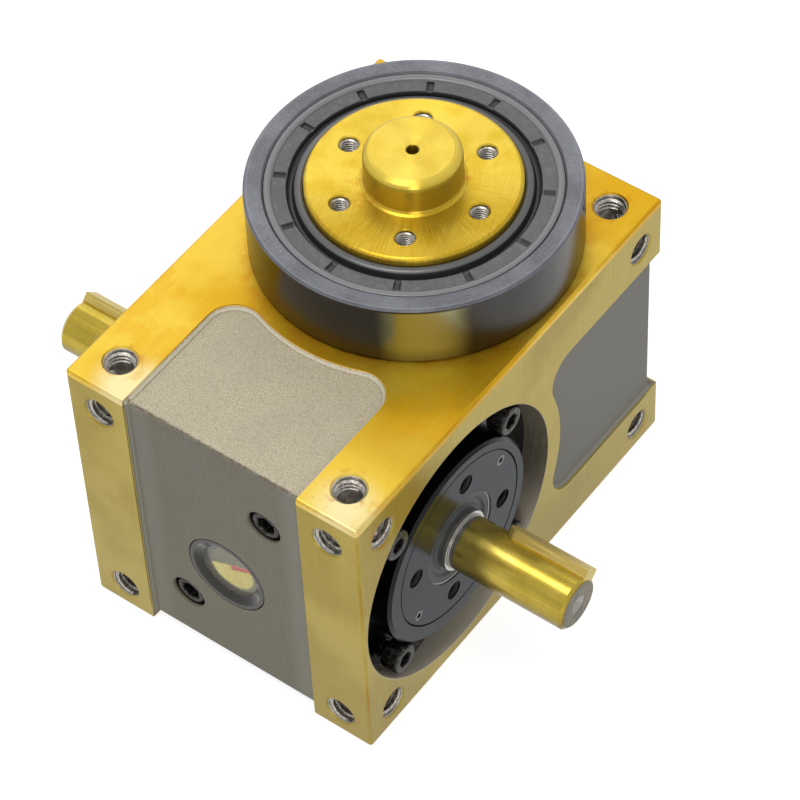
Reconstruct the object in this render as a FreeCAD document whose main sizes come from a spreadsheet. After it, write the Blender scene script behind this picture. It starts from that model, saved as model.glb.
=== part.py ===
import FreeCAD, Part
import math
import os

import Sketcher

# Cam indexer with a flanged output table: a globoidal cam on the input shaft drives eight
# cam followers on the output turret.
# Frame: Z up along the output axis, origin on the base face, X along the input shaft
# towards its visible keyed end, -Y towards the end with the sight glass. Millimetres.

doc = FreeCAD.newDocument("cam_indexer")
sheet = doc.addObject("Spreadsheet::Sheet", "Sizes")
V = FreeCAD.Vector


class Size:
    """A number together with the sheet expression that gives it."""

    def __init__(self, number, text=None):
        self.number = float(number)
        self.text = text if text else repr(float(number))

    def combine(self, other, sign, swapped=False):
        first, second = as_size(self), as_size(other)
        if swapped:
            first, second = second, first
        results = {
            "+": lambda p, q: p + q,
            "-": lambda p, q: p - q,
            "*": lambda p, q: p * q,
            "/": lambda p, q: p / q,
        }
        number = results[sign](first.number, second.number)
        return Size(number, "(%s %s %s)" % (first.text, sign, second.text))

    def __add__(self, other):
        return self.combine(other, "+")

    def __radd__(self, other):
        return self.combine(other, "+", True)

    def __sub__(self, other):
        return self.combine(other, "-")

    def __rsub__(self, other):
        return self.combine(other, "-", True)

    def __mul__(self, other):
        return self.combine(other, "*")

    def __rmul__(self, other):
        return self.combine(other, "*", True)

    def __truediv__(self, other):
        return self.combine(other, "/")

    def __neg__(self):
        return self.combine(-1, "*")

    def bound(self):
        return "Sizes." in self.text


def as_size(value):
    return value if isinstance(value, Size) else Size(value)


def size(name, number):
    """Write one driving dimension in the sheet and give it back as a Size."""
    size.row += 1
    cell = "B%d" % size.row
    sheet.set("A%d" % size.row, name)
    sheet.set(cell, str(number))
    sheet.setAlias(cell, name)
    return Size(number, "Sizes." + name)


size.row = 0


def cosine(degrees):
    angle = as_size(degrees)
    return Size(math.cos(math.radians(angle.number)), "cos(%s)" % angle.text)


def sine(degrees):
    angle = as_size(degrees)
    return Size(math.sin(math.radians(angle.number)), "sin(%s)" % angle.text)


# driving dimensions
# input shaft and its keys
shaft_width = size("shaft_width", 15)
shaft_step = size("shaft_step", 1)
shaft_reach = size("shaft_reach", 35.5)
shaft_chamfer = size("shaft_chamfer", 1)
collar_stand = size("collar_stand", 1)
centre_hole = size("centre_hole", 5.6)
centre_depth = size("centre_depth", 3.4)
key_width = size("key_width", 5)
key_height = size("key_height", 5)
key_sink = size("key_sink", 3)
key_run = size("key_run", 24.5)
key_setback = size("key_setback", 0.3)
key_angle = size("key_angle", 45)
# input bearings, eccentric sleeves and their screws
fit_gap = size("fit_gap", 0.02)
input_section = size("input_section", 11.5)
input_bearing = size("input_bearing", 13.25)
input_roller = size("input_roller", 4.4)
roller_gap = size("roller_gap", 0.05)
bearing_sink = size("bearing_sink", 23)
nut_wall = size("nut_wall", 5)
sleeve_wall = size("sleeve_wall", 5)
sleeve_flange = size("sleeve_flange", 4.5)
boss_step = size("boss_step", 1.1)
sleeve_setback = size("sleeve_setback", 0.4)
clamp_thread = size("clamp_thread", 5)
clamp_length = size("clamp_length", 13)
clamp_stand = size("clamp_stand", 2)
clamp_gap = size("clamp_gap", 0.25)
hub_gap = size("hub_gap", 0.85)
slot_half_angle = size("slot_half_angle", 12)
nut_pin_hole = size("nut_pin_hole", 5.4)
nut_pin_depth = size("nut_pin_depth", 4)
nut_pin_inset = size("nut_pin_inset", 0.8)
lock_thread = size("lock_thread", 3)
lock_length = size("lock_length", 5)
seal_section = size("seal_section", 4.5)
seal_width = size("seal_width", 6)
eccentricity = size("eccentricity", 1)
eccentric_angle = size("eccentric_angle", 53.13)
# globoidal cam, cam followers and turret
stations = size("stations", 8)
cam_half_width = size("cam_half_width", 16)
cam_shoulder = size("cam_shoulder", 4)
cam_clearance = size("cam_clearance", 0.5)
cam_entry = size("cam_entry", 2.2)
flank_clearance = size("flank_clearance", 0.6)
follower = size("follower", 12)
follower_width = size("follower_width", 7.8)
follower_gap = size("follower_gap", 0.4)
follower_head_height = size("follower_head_height", 0.4)
follower_root = size("follower_root", 12)
turret = size("turret", 44.6)
turret_half_height = size("turret_half_height", 11)
chamber_gap = size("chamber_gap", 0.6)
# output table, seal, ring and upper bearing
table = size("table", 55)
table_stand = size("table_stand", 1.5)
table_thread = size("table_thread", 5)
table_thread_depth = size("table_thread_depth", 8)
boss = size("boss", 25)
boss_height = size("boss_height", 10)
boss_round = size("boss_round", 2.2)
boss_foot = size("boss_foot", 1)
table_round = size("table_round", 1)
table_centre_hole = size("table_centre_hole", 3.2)
output_seal_section = size("output_seal_section", 10)
output_seal_width = size("output_seal_width", 8)
output_seal_sink = size("output_seal_sink", 0.3)
seal_ledge = size("seal_ledge", 1.7)
upper_section = size("upper_section", 15)
upper_bearing = size("upper_bearing", 20)
upper_roller = size("upper_roller", 7)
upper_collar_height = size("upper_collar_height", 5)
spigot_wall = size("spigot_wall", 3.5)
spigot_length = size("spigot_length", 11.5)
spigot_floor = size("spigot_floor", 0.5)
ring_step = size("ring_step", 1.5)
ring_bevel = size("ring_bevel", 0.5)
oring_section = size("oring_section", 1.8)
# lower bearing and bottom cover
lower_bore = size("lower_bore", 30)
lower_section = size("lower_section", 12.5)
lower_bearing = size("lower_bearing", 17)
lower_roller = size("lower_roller", 6)
cover_thickness = size("cover_thickness", 6)
cover_spigot = size("cover_spigot", 2)
cover_rim = size("cover_rim", 9.5)
cover_thread = size("cover_thread", 4)
cover_screw_length = size("cover_screw_length", 14)
cover_socket = size("cover_socket", 2.5)
# cast housing: its walls round the bores, reliefs and tapped mounting holes
side_wall = size("side_wall", 2)
end_wall = size("end_wall", 1.5)
base_wall = size("base_wall", 4.1)
top_wall = size("top_wall", 7.9)
edge_round = size("edge_round", 0.9)
relief_depth = size("relief_depth", 1.5)
relief_slope = size("relief_slope", 1.2)
relief_corner = size("relief_corner", 8)
end_relief_band = size("end_relief_band", 18)
end_relief_gap = size("end_relief_gap", 4)
side_relief_low = size("side_relief_low", 16.5)
side_relief_band = size("side_relief_band", 19.5)
side_relief_gap = size("side_relief_gap", 5.5)
mount_thread = size("mount_thread", 8)
mount_depth = size("mount_depth", 12)
mount_chamfer = size("mount_chamfer", 0.7)
mount_edge = size("mount_edge", 9.5)
mount_end_edge = size("mount_end_edge", 10)
mount_low_z = size("mount_low_z", 8)
mount_top_edge = size("mount_top_edge", 10.6)
mount_shift = size("mount_shift", 1)
# sight glass and oil plugs
glass_width = size("glass_width", 24)
glass_wall = size("glass_wall", 2)
glass_lip = size("glass_lip", 1.6)
glass_bevel = size("glass_bevel", 2.2)
glass_height = size("glass_height", 37.4)
glass_lens_sink = size("glass_lens_sink", 1.2)
glass_lens_thickness = size("glass_lens_thickness", 1.6)
reflector_gap = size("reflector_gap", 0.2)
reflector_thickness = size("reflector_thickness", 0.8)
glass_back = size("glass_back", 4.8)
plug_thread = size("plug_thread", 10)
plug_length = size("plug_length", 8)
plug_sink = size("plug_sink", 0.8)
plug_socket = size("plug_socket", 5)
plug_half_x = size("plug_half_x", 14)
fill_plug_drop = size("fill_plug_drop", 22)
drain_plug_z = size("drain_plug_z", 19)

# sizes and places that follow from them
# round the input shaft, from the inside out
journal = shaft_width + shaft_step * 2
input_cup = journal + input_section * 2
nut_width = input_cup + nut_wall * 2
cam_bore = nut_width + sleeve_wall * 2
sleeve_boss = cam_bore - boss_step * 2
clamp_head = clamp_thread * 1.7
clamp_head_height = clamp_thread
clamp_socket = clamp_thread * 0.8
slot_width = clamp_thread + 0.6
clamp_circle = sleeve_boss + clamp_head + clamp_gap * 2
hub_bore = clamp_circle + clamp_head + hub_gap * 2
seal_ring = journal + seal_section * 2
nut_pin_circle = (seal_ring + nut_width) / 2 - nut_pin_inset
lock_circle = nut_width - lock_thread * 2
# round the output shaft
cup_seat = table + output_seal_section * 2
ring_spigot = cup_seat + spigot_wall * 2
ring = ring_spigot + ring_step * 2
upper_bore = cup_seat - upper_section * 2
upper_collar = upper_bore + 11
neck = upper_bore - 5
table_bolt_circle = (table + boss) / 2
lower_cup = lower_bore + lower_section * 2
lower_collar = lower_bore + 8
cover = lower_cup + cover_rim * 2
cover_screw_circle = lower_cup + cover_rim + 0.5
# cam drive and the distance between the two axes
follower_pin = follower / 2
follower_head = follower_pin * 1.25
follower_start = turret / 2 + follower_gap
roller_end = follower_start + follower_width
root_reach = roller_end + follower_head_height + cam_clearance
chamber = (roller_end + follower_head_height + chamber_gap) * 2
cam_hub = journal + cam_shoulder * 2
cam_tip = cam_bore / 2 - cam_entry
working_distance = root_reach + cam_hub / 2 + cam_clearance
bore_distance = working_distance + eccentricity * cosine(eccentric_angle)
# housing
body_width = ring + side_wall * 2
half_width = body_width / 2
output_end = half_width
input_end = bore_distance + hub_bore / 2 + end_wall
end_face = input_end - relief_depth
bore_height = hub_bore / 2 + base_wall
body_height = bore_height + hub_bore / 2 + top_wall
bore_y = -bore_distance
shaft_y = -working_distance
shaft_z = bore_height + eccentricity * sine(eccentric_angle)
relief_brow = relief_depth + 0.5
end_relief_width = body_width - end_relief_band * 2
end_relief_arc = ring / 2 + end_relief_gap
side_relief_top = body_height - side_relief_band
side_relief_arc = hub_bore / 2 + side_relief_gap
mount_half_x = half_width - mount_edge
mount_input_y = input_end - mount_end_edge
mount_output_y = output_end - mount_edge
mount_high_z = body_height - mount_top_edge
# along the input shaft
hub_depth = sleeve_flange + clamp_stand + clamp_head_height + 0.5
hub_floor = half_width - hub_depth
flange_face = hub_floor + sleeve_flange
hub_face = half_width - sleeve_setback
clamp_hole_depth = clamp_length - sleeve_flange - clamp_stand + 0.5
input_shoulder = half_width - bearing_sink
cup_back = input_shoulder + input_bearing
collar_end = half_width + collar_stand
shaft_end = half_width + shaft_reach
key_start = shaft_end - key_run
# up the output shaft
lower_back = cover_thickness + cover_spigot
chamber_floor = lower_back + lower_bearing
spigot_bottom = body_height - spigot_length
upper_shoulder = spigot_bottom + spigot_floor
cup_top = upper_shoulder + upper_bearing
seal_floor = cup_top + seal_ledge
ring_top = seal_floor + output_seal_width + output_seal_sink
table_top = ring_top + table_stand
# sight glass and plugs
glass_lens = glass_width - glass_wall * 2
glass_window = glass_lens - glass_lip * 2
glass_length = (
    glass_lens_sink + glass_lens_thickness + reflector_gap + reflector_thickness + glass_back
)
fill_plug_z = body_height - fill_plug_drop
count = int(stations.number)

axes = {
    "X": FreeCAD.Rotation(V(0, 1, 0), 90),
    "-X": FreeCAD.Rotation(V(0, 1, 0), -90),
    "Y": FreeCAD.Rotation(V(1, 0, 0), -90),
    "-Y": FreeCAD.Rotation(V(1, 0, 0), 90),
    "Z": FreeCAD.Rotation(),
    "-Z": FreeCAD.Rotation(V(1, 0, 0), 180),
}
nodes = {}


def bind(thing, path, value):
    value = as_size(value)
    if value.bound():
        thing.setExpression(path, value.text)


def place(thing, at=(0, 0, 0), along="Z"):
    """Turn a thing's own Z axis along the given direction and put it at the point."""
    turn = axes[along] if isinstance(along, str) else along
    point = [as_size(value) for value in at]
    thing.Placement = FreeCAD.Placement(V(*[p.number for p in point]), turn)
    for letter, value in zip("xyz", point):
        bind(thing, "Placement.Base." + letter, value)
    return thing


def primitive(kind, name, at, along, **sizes):
    thing = doc.addObject("Part::" + kind, name)
    for key, value in sizes.items():
        setattr(thing, key, as_size(value).number)
        bind(thing, key, value)
    return place(thing, at, along)


def cylinder(name, radius, length, at=(0, 0, 0), along="Z"):
    return primitive("Cylinder", name, at, along, Radius=radius, Height=length)


def cone(name, first, second, length, at=(0, 0, 0), along="Z"):
    return primitive("Cone", name, at, along, Radius1=first, Radius2=second, Height=length)


def hexagon(name, flats, depth, at=(0, 0, 0), along="Z"):
    corner = as_size(flats) / math.sqrt(3)
    thing = primitive("Prism", name, at, along, Circumradius=corner, Height=depth)
    thing.Polygon = 6
    return thing


def box(name, low, high):
    low = [as_size(value) for value in low]
    sides = [as_size(top) - bottom for top, bottom in zip(high, low)]
    keys = dict(zip(("Length", "Width", "Height"), sides))
    return primitive("Box", name, low, "Z", **keys)


def cut(name, base, *tools):
    thing = doc.addObject("Part::Cut", name)
    thing.Base = base
    thing.Tool = tools[0] if len(tools) == 1 else fuse(name + "_tools", *tools)
    return thing


def fuse(name, *parts):
    thing = doc.addObject("Part::MultiFuse", name)
    thing.Shapes = list(parts)
    return thing


def common(name, first, second):
    thing = doc.addObject("Part::Common", name)
    thing.Base = first
    thing.Tool = second
    return thing


def rounded(name, base, radius, chosen):
    """Round the edges of a thing whose middle point passes the chosen test."""
    doc.recompute()
    thing = doc.addObject("Part::Fillet", name)
    thing.Base = base
    picked = []
    for index, edge in enumerate(base.Shape.Edges, 1):
        middle = edge.valueAt((edge.FirstParameter + edge.LastParameter) / 2)
        if chosen(middle, edge):
            picked.append((index, radius.number, radius.number))
    thing.Edges = picked
    return thing


def sloped(name, base, width, chosen):
    """Cut a slope on the edges of a thing whose middle point passes the chosen test."""
    doc.recompute()
    thing = doc.addObject("Part::Chamfer", name)
    thing.Base = base
    picked = []
    for index, edge in enumerate(base.Shape.Edges, 1):
        middle = edge.valueAt((edge.FirstParameter + edge.LastParameter) / 2)
        if chosen(middle, edge):
            picked.append((index, width.number, width.number))
    thing.Edges = picked
    return thing


def steps(start, outer, bore=()):
    """Outline of a turned piece. Each step is (end, radius) or (end, radius, end radius)."""

    def side(rows):
        points = []
        at = start
        for row in rows:
            points += [(at, row[1]), (row[0], row[-1])]
            at = row[0]
        return points

    front = side(outer)
    back = side(bore) if bore else [(start, 0), (outer[-1][0], 0)]
    outline = []
    for point in front + back[::-1]:
        if not outline or pair(point) != pair(outline[-1]):
            outline.append(point)
    return outline


def pair(point):
    return tuple(round(as_size(value).number, 6) for value in point)


def turned(name, outline, at=(0, 0, 0), along="Z"):
    """A body revolved about its own Z axis from an outline of (height, radius) points."""
    body = doc.addObject("PartDesign::Body", name)
    sketch = body.newObject("Sketcher::SketchObject", name + "_profile")
    plane = [f for f in body.Origin.OriginFeatures if f.Role == "XZ_Plane"][0]
    sketch.AttachmentSupport = [(plane, "")]
    sketch.MapMode = "FlatFace"
    points = [(as_size(radius), as_size(height)) for height, radius in outline]
    spots = [V(radius.number, height.number, 0) for radius, height in points]
    total = len(spots)
    for index in range(total):
        line = Part.LineSegment(spots[index], spots[(index + 1) % total])
        sketch.addGeometry(line, False)
    for index in range(total):
        previous = (index - 1) % total
        sketch.addConstraint(Sketcher.Constraint("Coincident", previous, 2, index, 1))
    for index, (radius, height) in enumerate(points):
        pin(sketch, index, "DistanceX", -2, radius)
        pin(sketch, index, "DistanceY", -1, height)
    revolution = body.newObject("PartDesign::Revolution", name + "_turning")
    revolution.Profile = sketch
    revolution.ReferenceAxis = (sketch, ["V_Axis"])
    revolution.Angle = 360
    sketch.Visibility = False
    return place(body, at, along)


def pin(sketch, index, kind, axis, value):
    """Hold one corner of a profile at its distance from the sketch's axis."""
    if abs(value.number) < 1e-9:
        sketch.addConstraint(Sketcher.Constraint("PointOnObject", index, 1, axis))
        return
    rule = Sketcher.Constraint(kind, -1, 1, index, 1, value.number)
    number = sketch.addConstraint(rule)
    bind(sketch, "Constraints[%d]" % number, value)


def keep(node, thing):
    """Name a finished piece; its label is also the name of its file."""
    thing.Label = node
    nodes[node] = thing
    return thing


def grouped(node, pieces):
    thing = doc.addObject("Part::Compound", node)
    thing.Links = pieces
    return keep(node, thing)


def tapped(name, mouth, along, thread, depth, chamfer):
    """The space of a tapped hole: thread diameter, chamfered mouth and drill point.

    The mouth is the centre of the hole on its face and along is the drilling direction.
    """
    radius = thread / 2
    outline = [
        (0, 0),
        (0, radius + chamfer),
        (chamfer, radius),
        (depth, radius),
        (depth + radius * 0.3, 0),
    ]
    return turned(name, outline, mouth, along)


def around(circle, angle, centre=(0, 0)):
    """The point on a circle of the given diameter, from the first axis to the second."""
    first = centre[0] + circle / 2 * cosine(angle)
    second = centre[1] + circle / 2 * sine(angle)
    return first, second


def taper_bearing(prefix, at, along, bore, outer, width, roller, number):
    """Cup, cone and tapered rollers, from the cone's back face towards the cup's."""
    tilt, cup_angle, cone_angle = 11, 13, 9
    middle = width * 0.48
    length = width * 0.58
    centre = (bore + outer) / 4
    reach = roller / 2 + roller_gap

    def race(height, sign, angle):
        start = centre + sign * reach * cosine(tilt)
        return start - math.tan(math.radians(angle)) * (height - middle - sign * reach * sine(tilt))

    low = middle - length / 2
    high = middle + length / 2
    rim = width * 0.06
    cup_start = width * 0.2
    cup = [
        (cup_start, race(cup_start, 1, cup_angle)),
        (cup_start, outer / 2),
        (width, outer / 2),
        (width, race(width, 1, cup_angle)),
    ]
    end = width * 0.86
    inner = [
        (0, bore / 2),
        (0, race(low, -1, cone_angle) + rim * 2),
        (low - rim, race(low, -1, cone_angle) + rim * 2),
        (low - rim, race(low - rim, -1, cone_angle)),
        (high + rim, race(high + rim, -1, cone_angle)),
        (end, race(high + rim, -1, cone_angle)),
        (end, bore / 2),
    ]
    keep(prefix + "_cup", turned(prefix + "_cup", cup, at, along))
    keep(prefix + "_cone", turned(prefix + "_cone", inner, at, along))
    spread = math.tan(math.radians((cup_angle - cone_angle) / 2))
    big = roller / 2 + spread * length / 2
    small = roller / 2 - spread * length / 2
    base = centre + length / 2 * sine(tilt)
    rise = middle - length / 2 * cosine(tilt)
    frame = axes[along]
    rollers = []
    for index in range(number):
        angle = 360.0 * index / number
        turn = frame.multiply(FreeCAD.Rotation(V(0, 0, 1), angle))
        turn = turn.multiply(FreeCAD.Rotation(V(0, 1, 0), -tilt))
        spot = frame.multVec(V(math.cos(math.radians(angle)), math.sin(math.radians(angle)), 0))
        lift = frame.multVec(V(0, 0, 1))
        point = [
            as_size(at[axis]) + base * round(spot[axis], 9) + rise * round(lift[axis], 9)
            for axis in range(3)
        ]
        rollers.append(cone("%s_roller_%d" % (prefix, index + 1), big, small, length, point, turn))
    grouped(prefix + "_rollers", rollers)


# housing
def between(value, low, high):
    return low - 0.01 <= value <= high + 0.01


blank = box("housing_blank", (-half_width, -input_end, 0), (half_width, output_end, body_height))
blank = rounded("housing_edges", blank, edge_round, lambda middle, edge: True)

# the cast relief on the input end, which wraps onto the top and the base
half_relief = end_relief_width / 2
end_block = box(
    "end_relief_block",
    (-half_relief, -input_end - 1, -1),
    (half_relief, -bore_distance / 2, body_height + 1),
)
end_arc = cylinder("end_relief_arc", end_relief_arc, body_height + 4, (0, 0, -2))
end_outline = cut("end_relief_outline", end_block, end_arc)
end_outline = rounded(
    "end_relief_corners",
    end_outline,
    relief_corner,
    lambda middle, edge: between(abs(middle.x), half_relief.number, half_relief.number)
    and middle.y > -input_end.number
    and between(middle.z, body_height.number / 2 - 1, body_height.number / 2 + 1),
)
end_core = box(
    "end_relief_core",
    (-half_width, -end_face, relief_depth),
    (half_width, output_end, body_height - relief_depth),
)
end_core = rounded(
    "end_relief_brow",
    end_core,
    relief_brow,
    lambda middle, edge: abs(middle.x) < 1 and middle.y < -end_face.number + 1,
)


def straight_along(edge, axis):
    ends = edge.valueAt(edge.LastParameter) - edge.valueAt(edge.FirstParameter)
    return abs(abs(ends[axis]) - ends.Length) < 0.001


end_relief = cut("end_relief", end_outline, end_core)
end_relief = sloped(
    "end_relief_foot",
    end_relief,
    relief_slope,
    lambda middle, edge: min(middle.y + input_end.number, middle.z, body_height.number - middle.z)
    > relief_depth.number - 0.01
    and not straight_along(edge, 0),
)

# the cast relief on both sides, which wraps round the output end
side_block = box(
    "side_relief_block",
    (-half_width - 1, -bore_distance / 2, side_relief_low),
    (half_width + 1, output_end + 1, side_relief_top),
)
side_middle = (side_relief_low + side_relief_top) / 2
side_arc = cylinder(
    "side_relief_arc", side_relief_arc, body_width + 4, (-half_width - 2, bore_y, side_middle), "X"
)
side_outline = cut("side_relief_outline", side_block, side_arc)
side_outline = rounded(
    "side_relief_corners",
    side_outline,
    relief_corner,
    lambda middle, edge: middle.y < output_end.number
    and abs(middle.x) < 1
    and (
        between(middle.z, side_relief_low.number, side_relief_low.number)
        or between(middle.z, side_relief_top.number, side_relief_top.number)
    ),
)
side_core = box(
    "side_relief_core",
    (-half_width + relief_depth, -input_end, 0),
    (half_width - relief_depth, output_end - relief_depth, body_height),
)
side_core = rounded(
    "side_relief_brow",
    side_core,
    relief_brow,
    lambda middle, edge: between(middle.z, body_height.number / 2, body_height.number / 2)
    and middle.y > 0,
)
side_relief = cut("side_relief", side_outline, side_core)
side_relief = sloped(
    "side_relief_foot",
    side_relief,
    relief_slope,
    lambda middle, edge: min(half_width.number - abs(middle.x), output_end.number - middle.y)
    > relief_depth.number - 0.01
    and not straight_along(edge, 2),
)

spaces = [cylinder("cam_bore", cam_bore / 2, body_width, (-half_width, bore_y, bore_height), "X")]
for side, along in ((1, "X"), (-1, "-X")):
    start = (side * hub_floor, bore_y, bore_height)
    spaces.append(cylinder("hub_bore_" + along.strip("-"), hub_bore / 2, hub_depth + 1, start, along))
spaces.append(cylinder("chamber", chamber / 2, spigot_bottom + 1 - chamber_floor, (0, 0, chamber_floor)))
spaces.append(
    cylinder("ring_bore", ring_spigot / 2 + fit_gap, spigot_length + 1, (0, 0, spigot_bottom))
)
spaces.append(cylinder("lower_cup_seat", lower_cup / 2, chamber_floor + 1))
spaces.append(cylinder("cover_seat", cover / 2 + fit_gap, cover_thickness + 1, (0, 0, -1)))
casting = cut("casting", blank, end_relief, side_relief)
housing = cut("bored_casting", casting, *spaces)

# the base, the output end and the rear side have their holes a little nearer the edges,
# so that no two holes share one axis
mount_ys = (-mount_input_y, mount_output_y)
rear_ys = (-mount_input_y - mount_shift, mount_output_y + mount_shift)
mount_zs = (mount_low_z, mount_high_z)
holes = []
for sign_x in (-1, 1):
    x = sign_x * mount_half_x
    hidden_x = sign_x * (mount_half_x + mount_shift)
    for y in mount_ys:
        holes += [((hidden_x, y, 0), "Z"), ((x, y, body_height), "-Z")]
    for z in mount_zs:
        holes += [((x, -input_end, z), "Y"), ((hidden_x, output_end, z), "-Y")]
for z in mount_zs:
    for y in mount_ys:
        holes.append(((half_width, y, z), "-X"))
    for y in rear_ys:
        holes.append(((-half_width, y, z), "X"))
for along in ("Z", "-Z", "X", "-X", "Y", "-Y"):
    drilled = []
    for mouth, direction in holes:
        if direction == along:
            name = "mount_hole_%s_%d" % (along, len(drilled) + 1)
            drilled.append(tapped(name, mouth, along, mount_thread, mount_depth, mount_chamfer))
    housing = cut("mount_holes_" + along, housing, *drilled)

spaces = []
clamp_angles = (45, 135, 225, 315)
for side, along in ((1, "-X"), (-1, "X")):
    for angle in clamp_angles:
        y, z = around(clamp_circle, angle, (bore_y, bore_height))
        spaces.append(
            cylinder("clamp_hole", clamp_thread / 2, clamp_hole_depth, (side * hub_floor, y, z), along)
        )
cover_angles = [30 + 60 * index for index in range(6)]
cover_hole_depth = cover_screw_length + 2
for angle in cover_angles:
    x, y = around(cover_screw_circle, angle)
    spaces.append(cylinder("cover_screw_hole", cover_thread / 2, cover_hole_depth, (x, y, 0)))
glass_centre = (0, -end_face, glass_height)
through = input_end - bore_distance
spaces.append(
    cylinder("sight_glass_hole", glass_width / 2, through, (0, -input_end, glass_height), "Y")
)
plug_spots = {
    "oil_fill_plug": (plug_half_x, fill_plug_z),
    "oil_drain_plug": (-plug_half_x, drain_plug_z),
}
plug_chamfer = mount_chamfer / 2
for name, (x, z) in plug_spots.items():
    spaces.append(tapped(name + "_hole", (x, -end_face, z), "Y", plug_thread, through, plug_chamfer))
keep("housing", cut("housing_body", housing, *spaces))

# bottom cover
cover_head = cover_thread * 2
cover_outline = steps(
    0, [(cover_thickness, cover / 2), (lower_back, lower_cup / 2 - fit_gap)]
)
cover_plate = turned("cover_plate", cover_outline)
groove_depth = oring_section * 0.8
cover_groove_inner = lower_cup / 2 + 0.6
cover_groove = turned(
    "cover_groove",
    steps(
        cover_thickness - groove_depth,
        [(cover_thickness + 1, cover_groove_inner + oring_section * 1.2)],
        [(cover_thickness + 1, cover_groove_inner)],
    ),
)
countersinks = []
cover_screws = []
for index, angle in enumerate(cover_angles, 1):
    x, y = around(cover_screw_circle, angle)
    head = [
        (0, 0),
        (0, cover_head / 2),
        (cover_thread / 2, cover_thread / 2),
        (cover_screw_length, cover_thread / 2),
        (cover_screw_length, 0),
    ]
    screw = turned("cover_screw_%d" % index, head, (x, y, 0))
    socket = hexagon("cover_socket_%d" % index, cover_socket, cover_thread * 0.55, (x, y, 0))
    countersinks.append(screw)
    cover_screws.append(cut("cover_screw_cut_%d" % index, screw, socket))
keep("bottom_cover", cut("cover_body", cover_plate, cover_groove, *countersinks))
grouped("bottom_cover_screws", cover_screws)
oring_radius = groove_depth / 2 - fit_gap


def oring(node, radius, height, at=(0, 0, 0), along="Z"):
    thing = doc.addObject("Part::Torus", node)
    thing.Radius1 = radius.number
    thing.Radius2 = oring_radius.number
    bind(thing, "Radius1", radius)
    bind(thing, "Radius2", oring_radius)
    sign = -1 if along.startswith("-") else 1
    letter = "XYZ".index(along.strip("-"))
    point = [as_size(value) for value in at]
    point[letter] = point[letter] + sign * height
    keep(node, place(thing, point, along))


oring(
    "bottom_cover_oring",
    cover_groove_inner + oring_section * 0.6,
    cover_thickness - groove_depth / 2,
)

# output bearing ring, seal and output shaft
ring_bore_radius = cup_seat / 2
ring_outline = steps(
    spigot_bottom,
    [
        (body_height, ring_spigot / 2),
        (body_height + ring_bevel, ring / 2 - ring_bevel, ring / 2),
        (ring_top - ring_bevel, ring / 2),
        (ring_top, ring / 2, ring / 2 - ring_bevel),
    ],
    [
        (cup_top, ring_bore_radius),
        (seal_floor, ring_bore_radius - seal_ledge),
        (ring_top - ring_bevel, ring_bore_radius),
        (ring_top, ring_bore_radius, ring_bore_radius + ring_bevel),
    ],
)
ring_body = turned("ring_body", ring_outline)
ring_groove_height = spigot_bottom + spigot_length / 2
ring_groove = turned(
    "ring_groove",
    steps(
        ring_groove_height - oring_section * 0.6,
        [(ring_groove_height + oring_section * 0.6, ring_spigot / 2 + 1)],
        [(ring_groove_height + oring_section * 0.6, ring_spigot / 2 - groove_depth)],
    ),
)
keep("output_bearing_ring", cut("ring_cut", ring_body, ring_groove))
oring("output_ring_oring", ring_spigot / 2 - groove_depth / 2, ring_groove_height)

table_radius = table / 2
seal_top = ring_top - output_seal_sink
seal_lip = table_radius + 4.2
seal_outline = [
    (seal_floor, ring_bore_radius),
    (seal_top - 0.5, ring_bore_radius),
    (seal_top, ring_bore_radius - 0.5),
    (seal_top, ring_bore_radius - 1.5),
    (seal_top - 0.5, ring_bore_radius - 2.2),
    (seal_top - 0.5, seal_lip),
    (seal_top - 2.2, seal_lip - 0.5),
    (seal_top - 2.2, seal_lip - 1.5),
    (seal_top - 0.3, seal_lip - 2.2),
    (seal_top - 0.1, seal_lip - 3.6),
    (seal_top - 0.5, table_radius + roller_gap),
    (seal_top - 1.5, table_radius + roller_gap),
    (seal_floor + 1.2, table_radius + 1.6),
    (seal_floor, table_radius + 1.6),
]
keep("output_oil_seal", turned("output_seal", seal_outline))

shaft_bottom = lower_back + 1
turret_low = shaft_z - turret_half_height
turret_top = shaft_z + turret_half_height
output_outline = steps(
    shaft_bottom,
    [
        (chamber_floor, lower_bore / 2),
        (turret_low, lower_collar / 2),
        (turret_top, turret / 2),
        (upper_shoulder - upper_collar_height, neck / 2),
        (upper_shoulder, upper_collar / 2),
        (cup_top + roller_gap, upper_bore / 2),
        (table_top - table_round, table_radius),
        (table_top - table_round * 0.5, table_radius, table_radius - table_round * 0.134),
        (table_top - table_round * 0.134, table_radius - table_round * 0.134, table_radius - table_round * 0.5),
        (table_top, table_radius - table_round * 0.5, table_radius - table_round),
        (table_top + boss_foot * 0.293, boss / 2 + boss_foot, boss / 2 + boss_foot * 0.293),
        (table_top + boss_foot, boss / 2 + boss_foot * 0.293, boss / 2),
        (table_top + boss_height - boss_round, boss / 2),
    ]
    + [
        (
            table_top + boss_height - boss_round * (1 - math.sin(math.radians(angle + 22.5))),
            boss / 2 - boss_round * (1 - math.cos(math.radians(angle))),
            boss / 2 - boss_round * (1 - math.cos(math.radians(angle + 22.5))),
        )
        for angle in (0, 22.5, 45, 67.5)
    ],
)
output_blank = turned("output_blank", output_outline)
output_spaces = []
for index in range(6):
    x, y = around(table_bolt_circle, 60 * index)
    name = "table_hole_%d" % (index + 1)
    spot = (x, y, table_top)
    output_spaces.append(tapped(name, spot, "-Z", table_thread, table_thread_depth, 0.35))
centre_spot = (0, 0, table_top + boss_height)
output_spaces.append(tapped("table_centre", centre_spot, "-Z", table_centre_hole, boss_height, 0.2))

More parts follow.
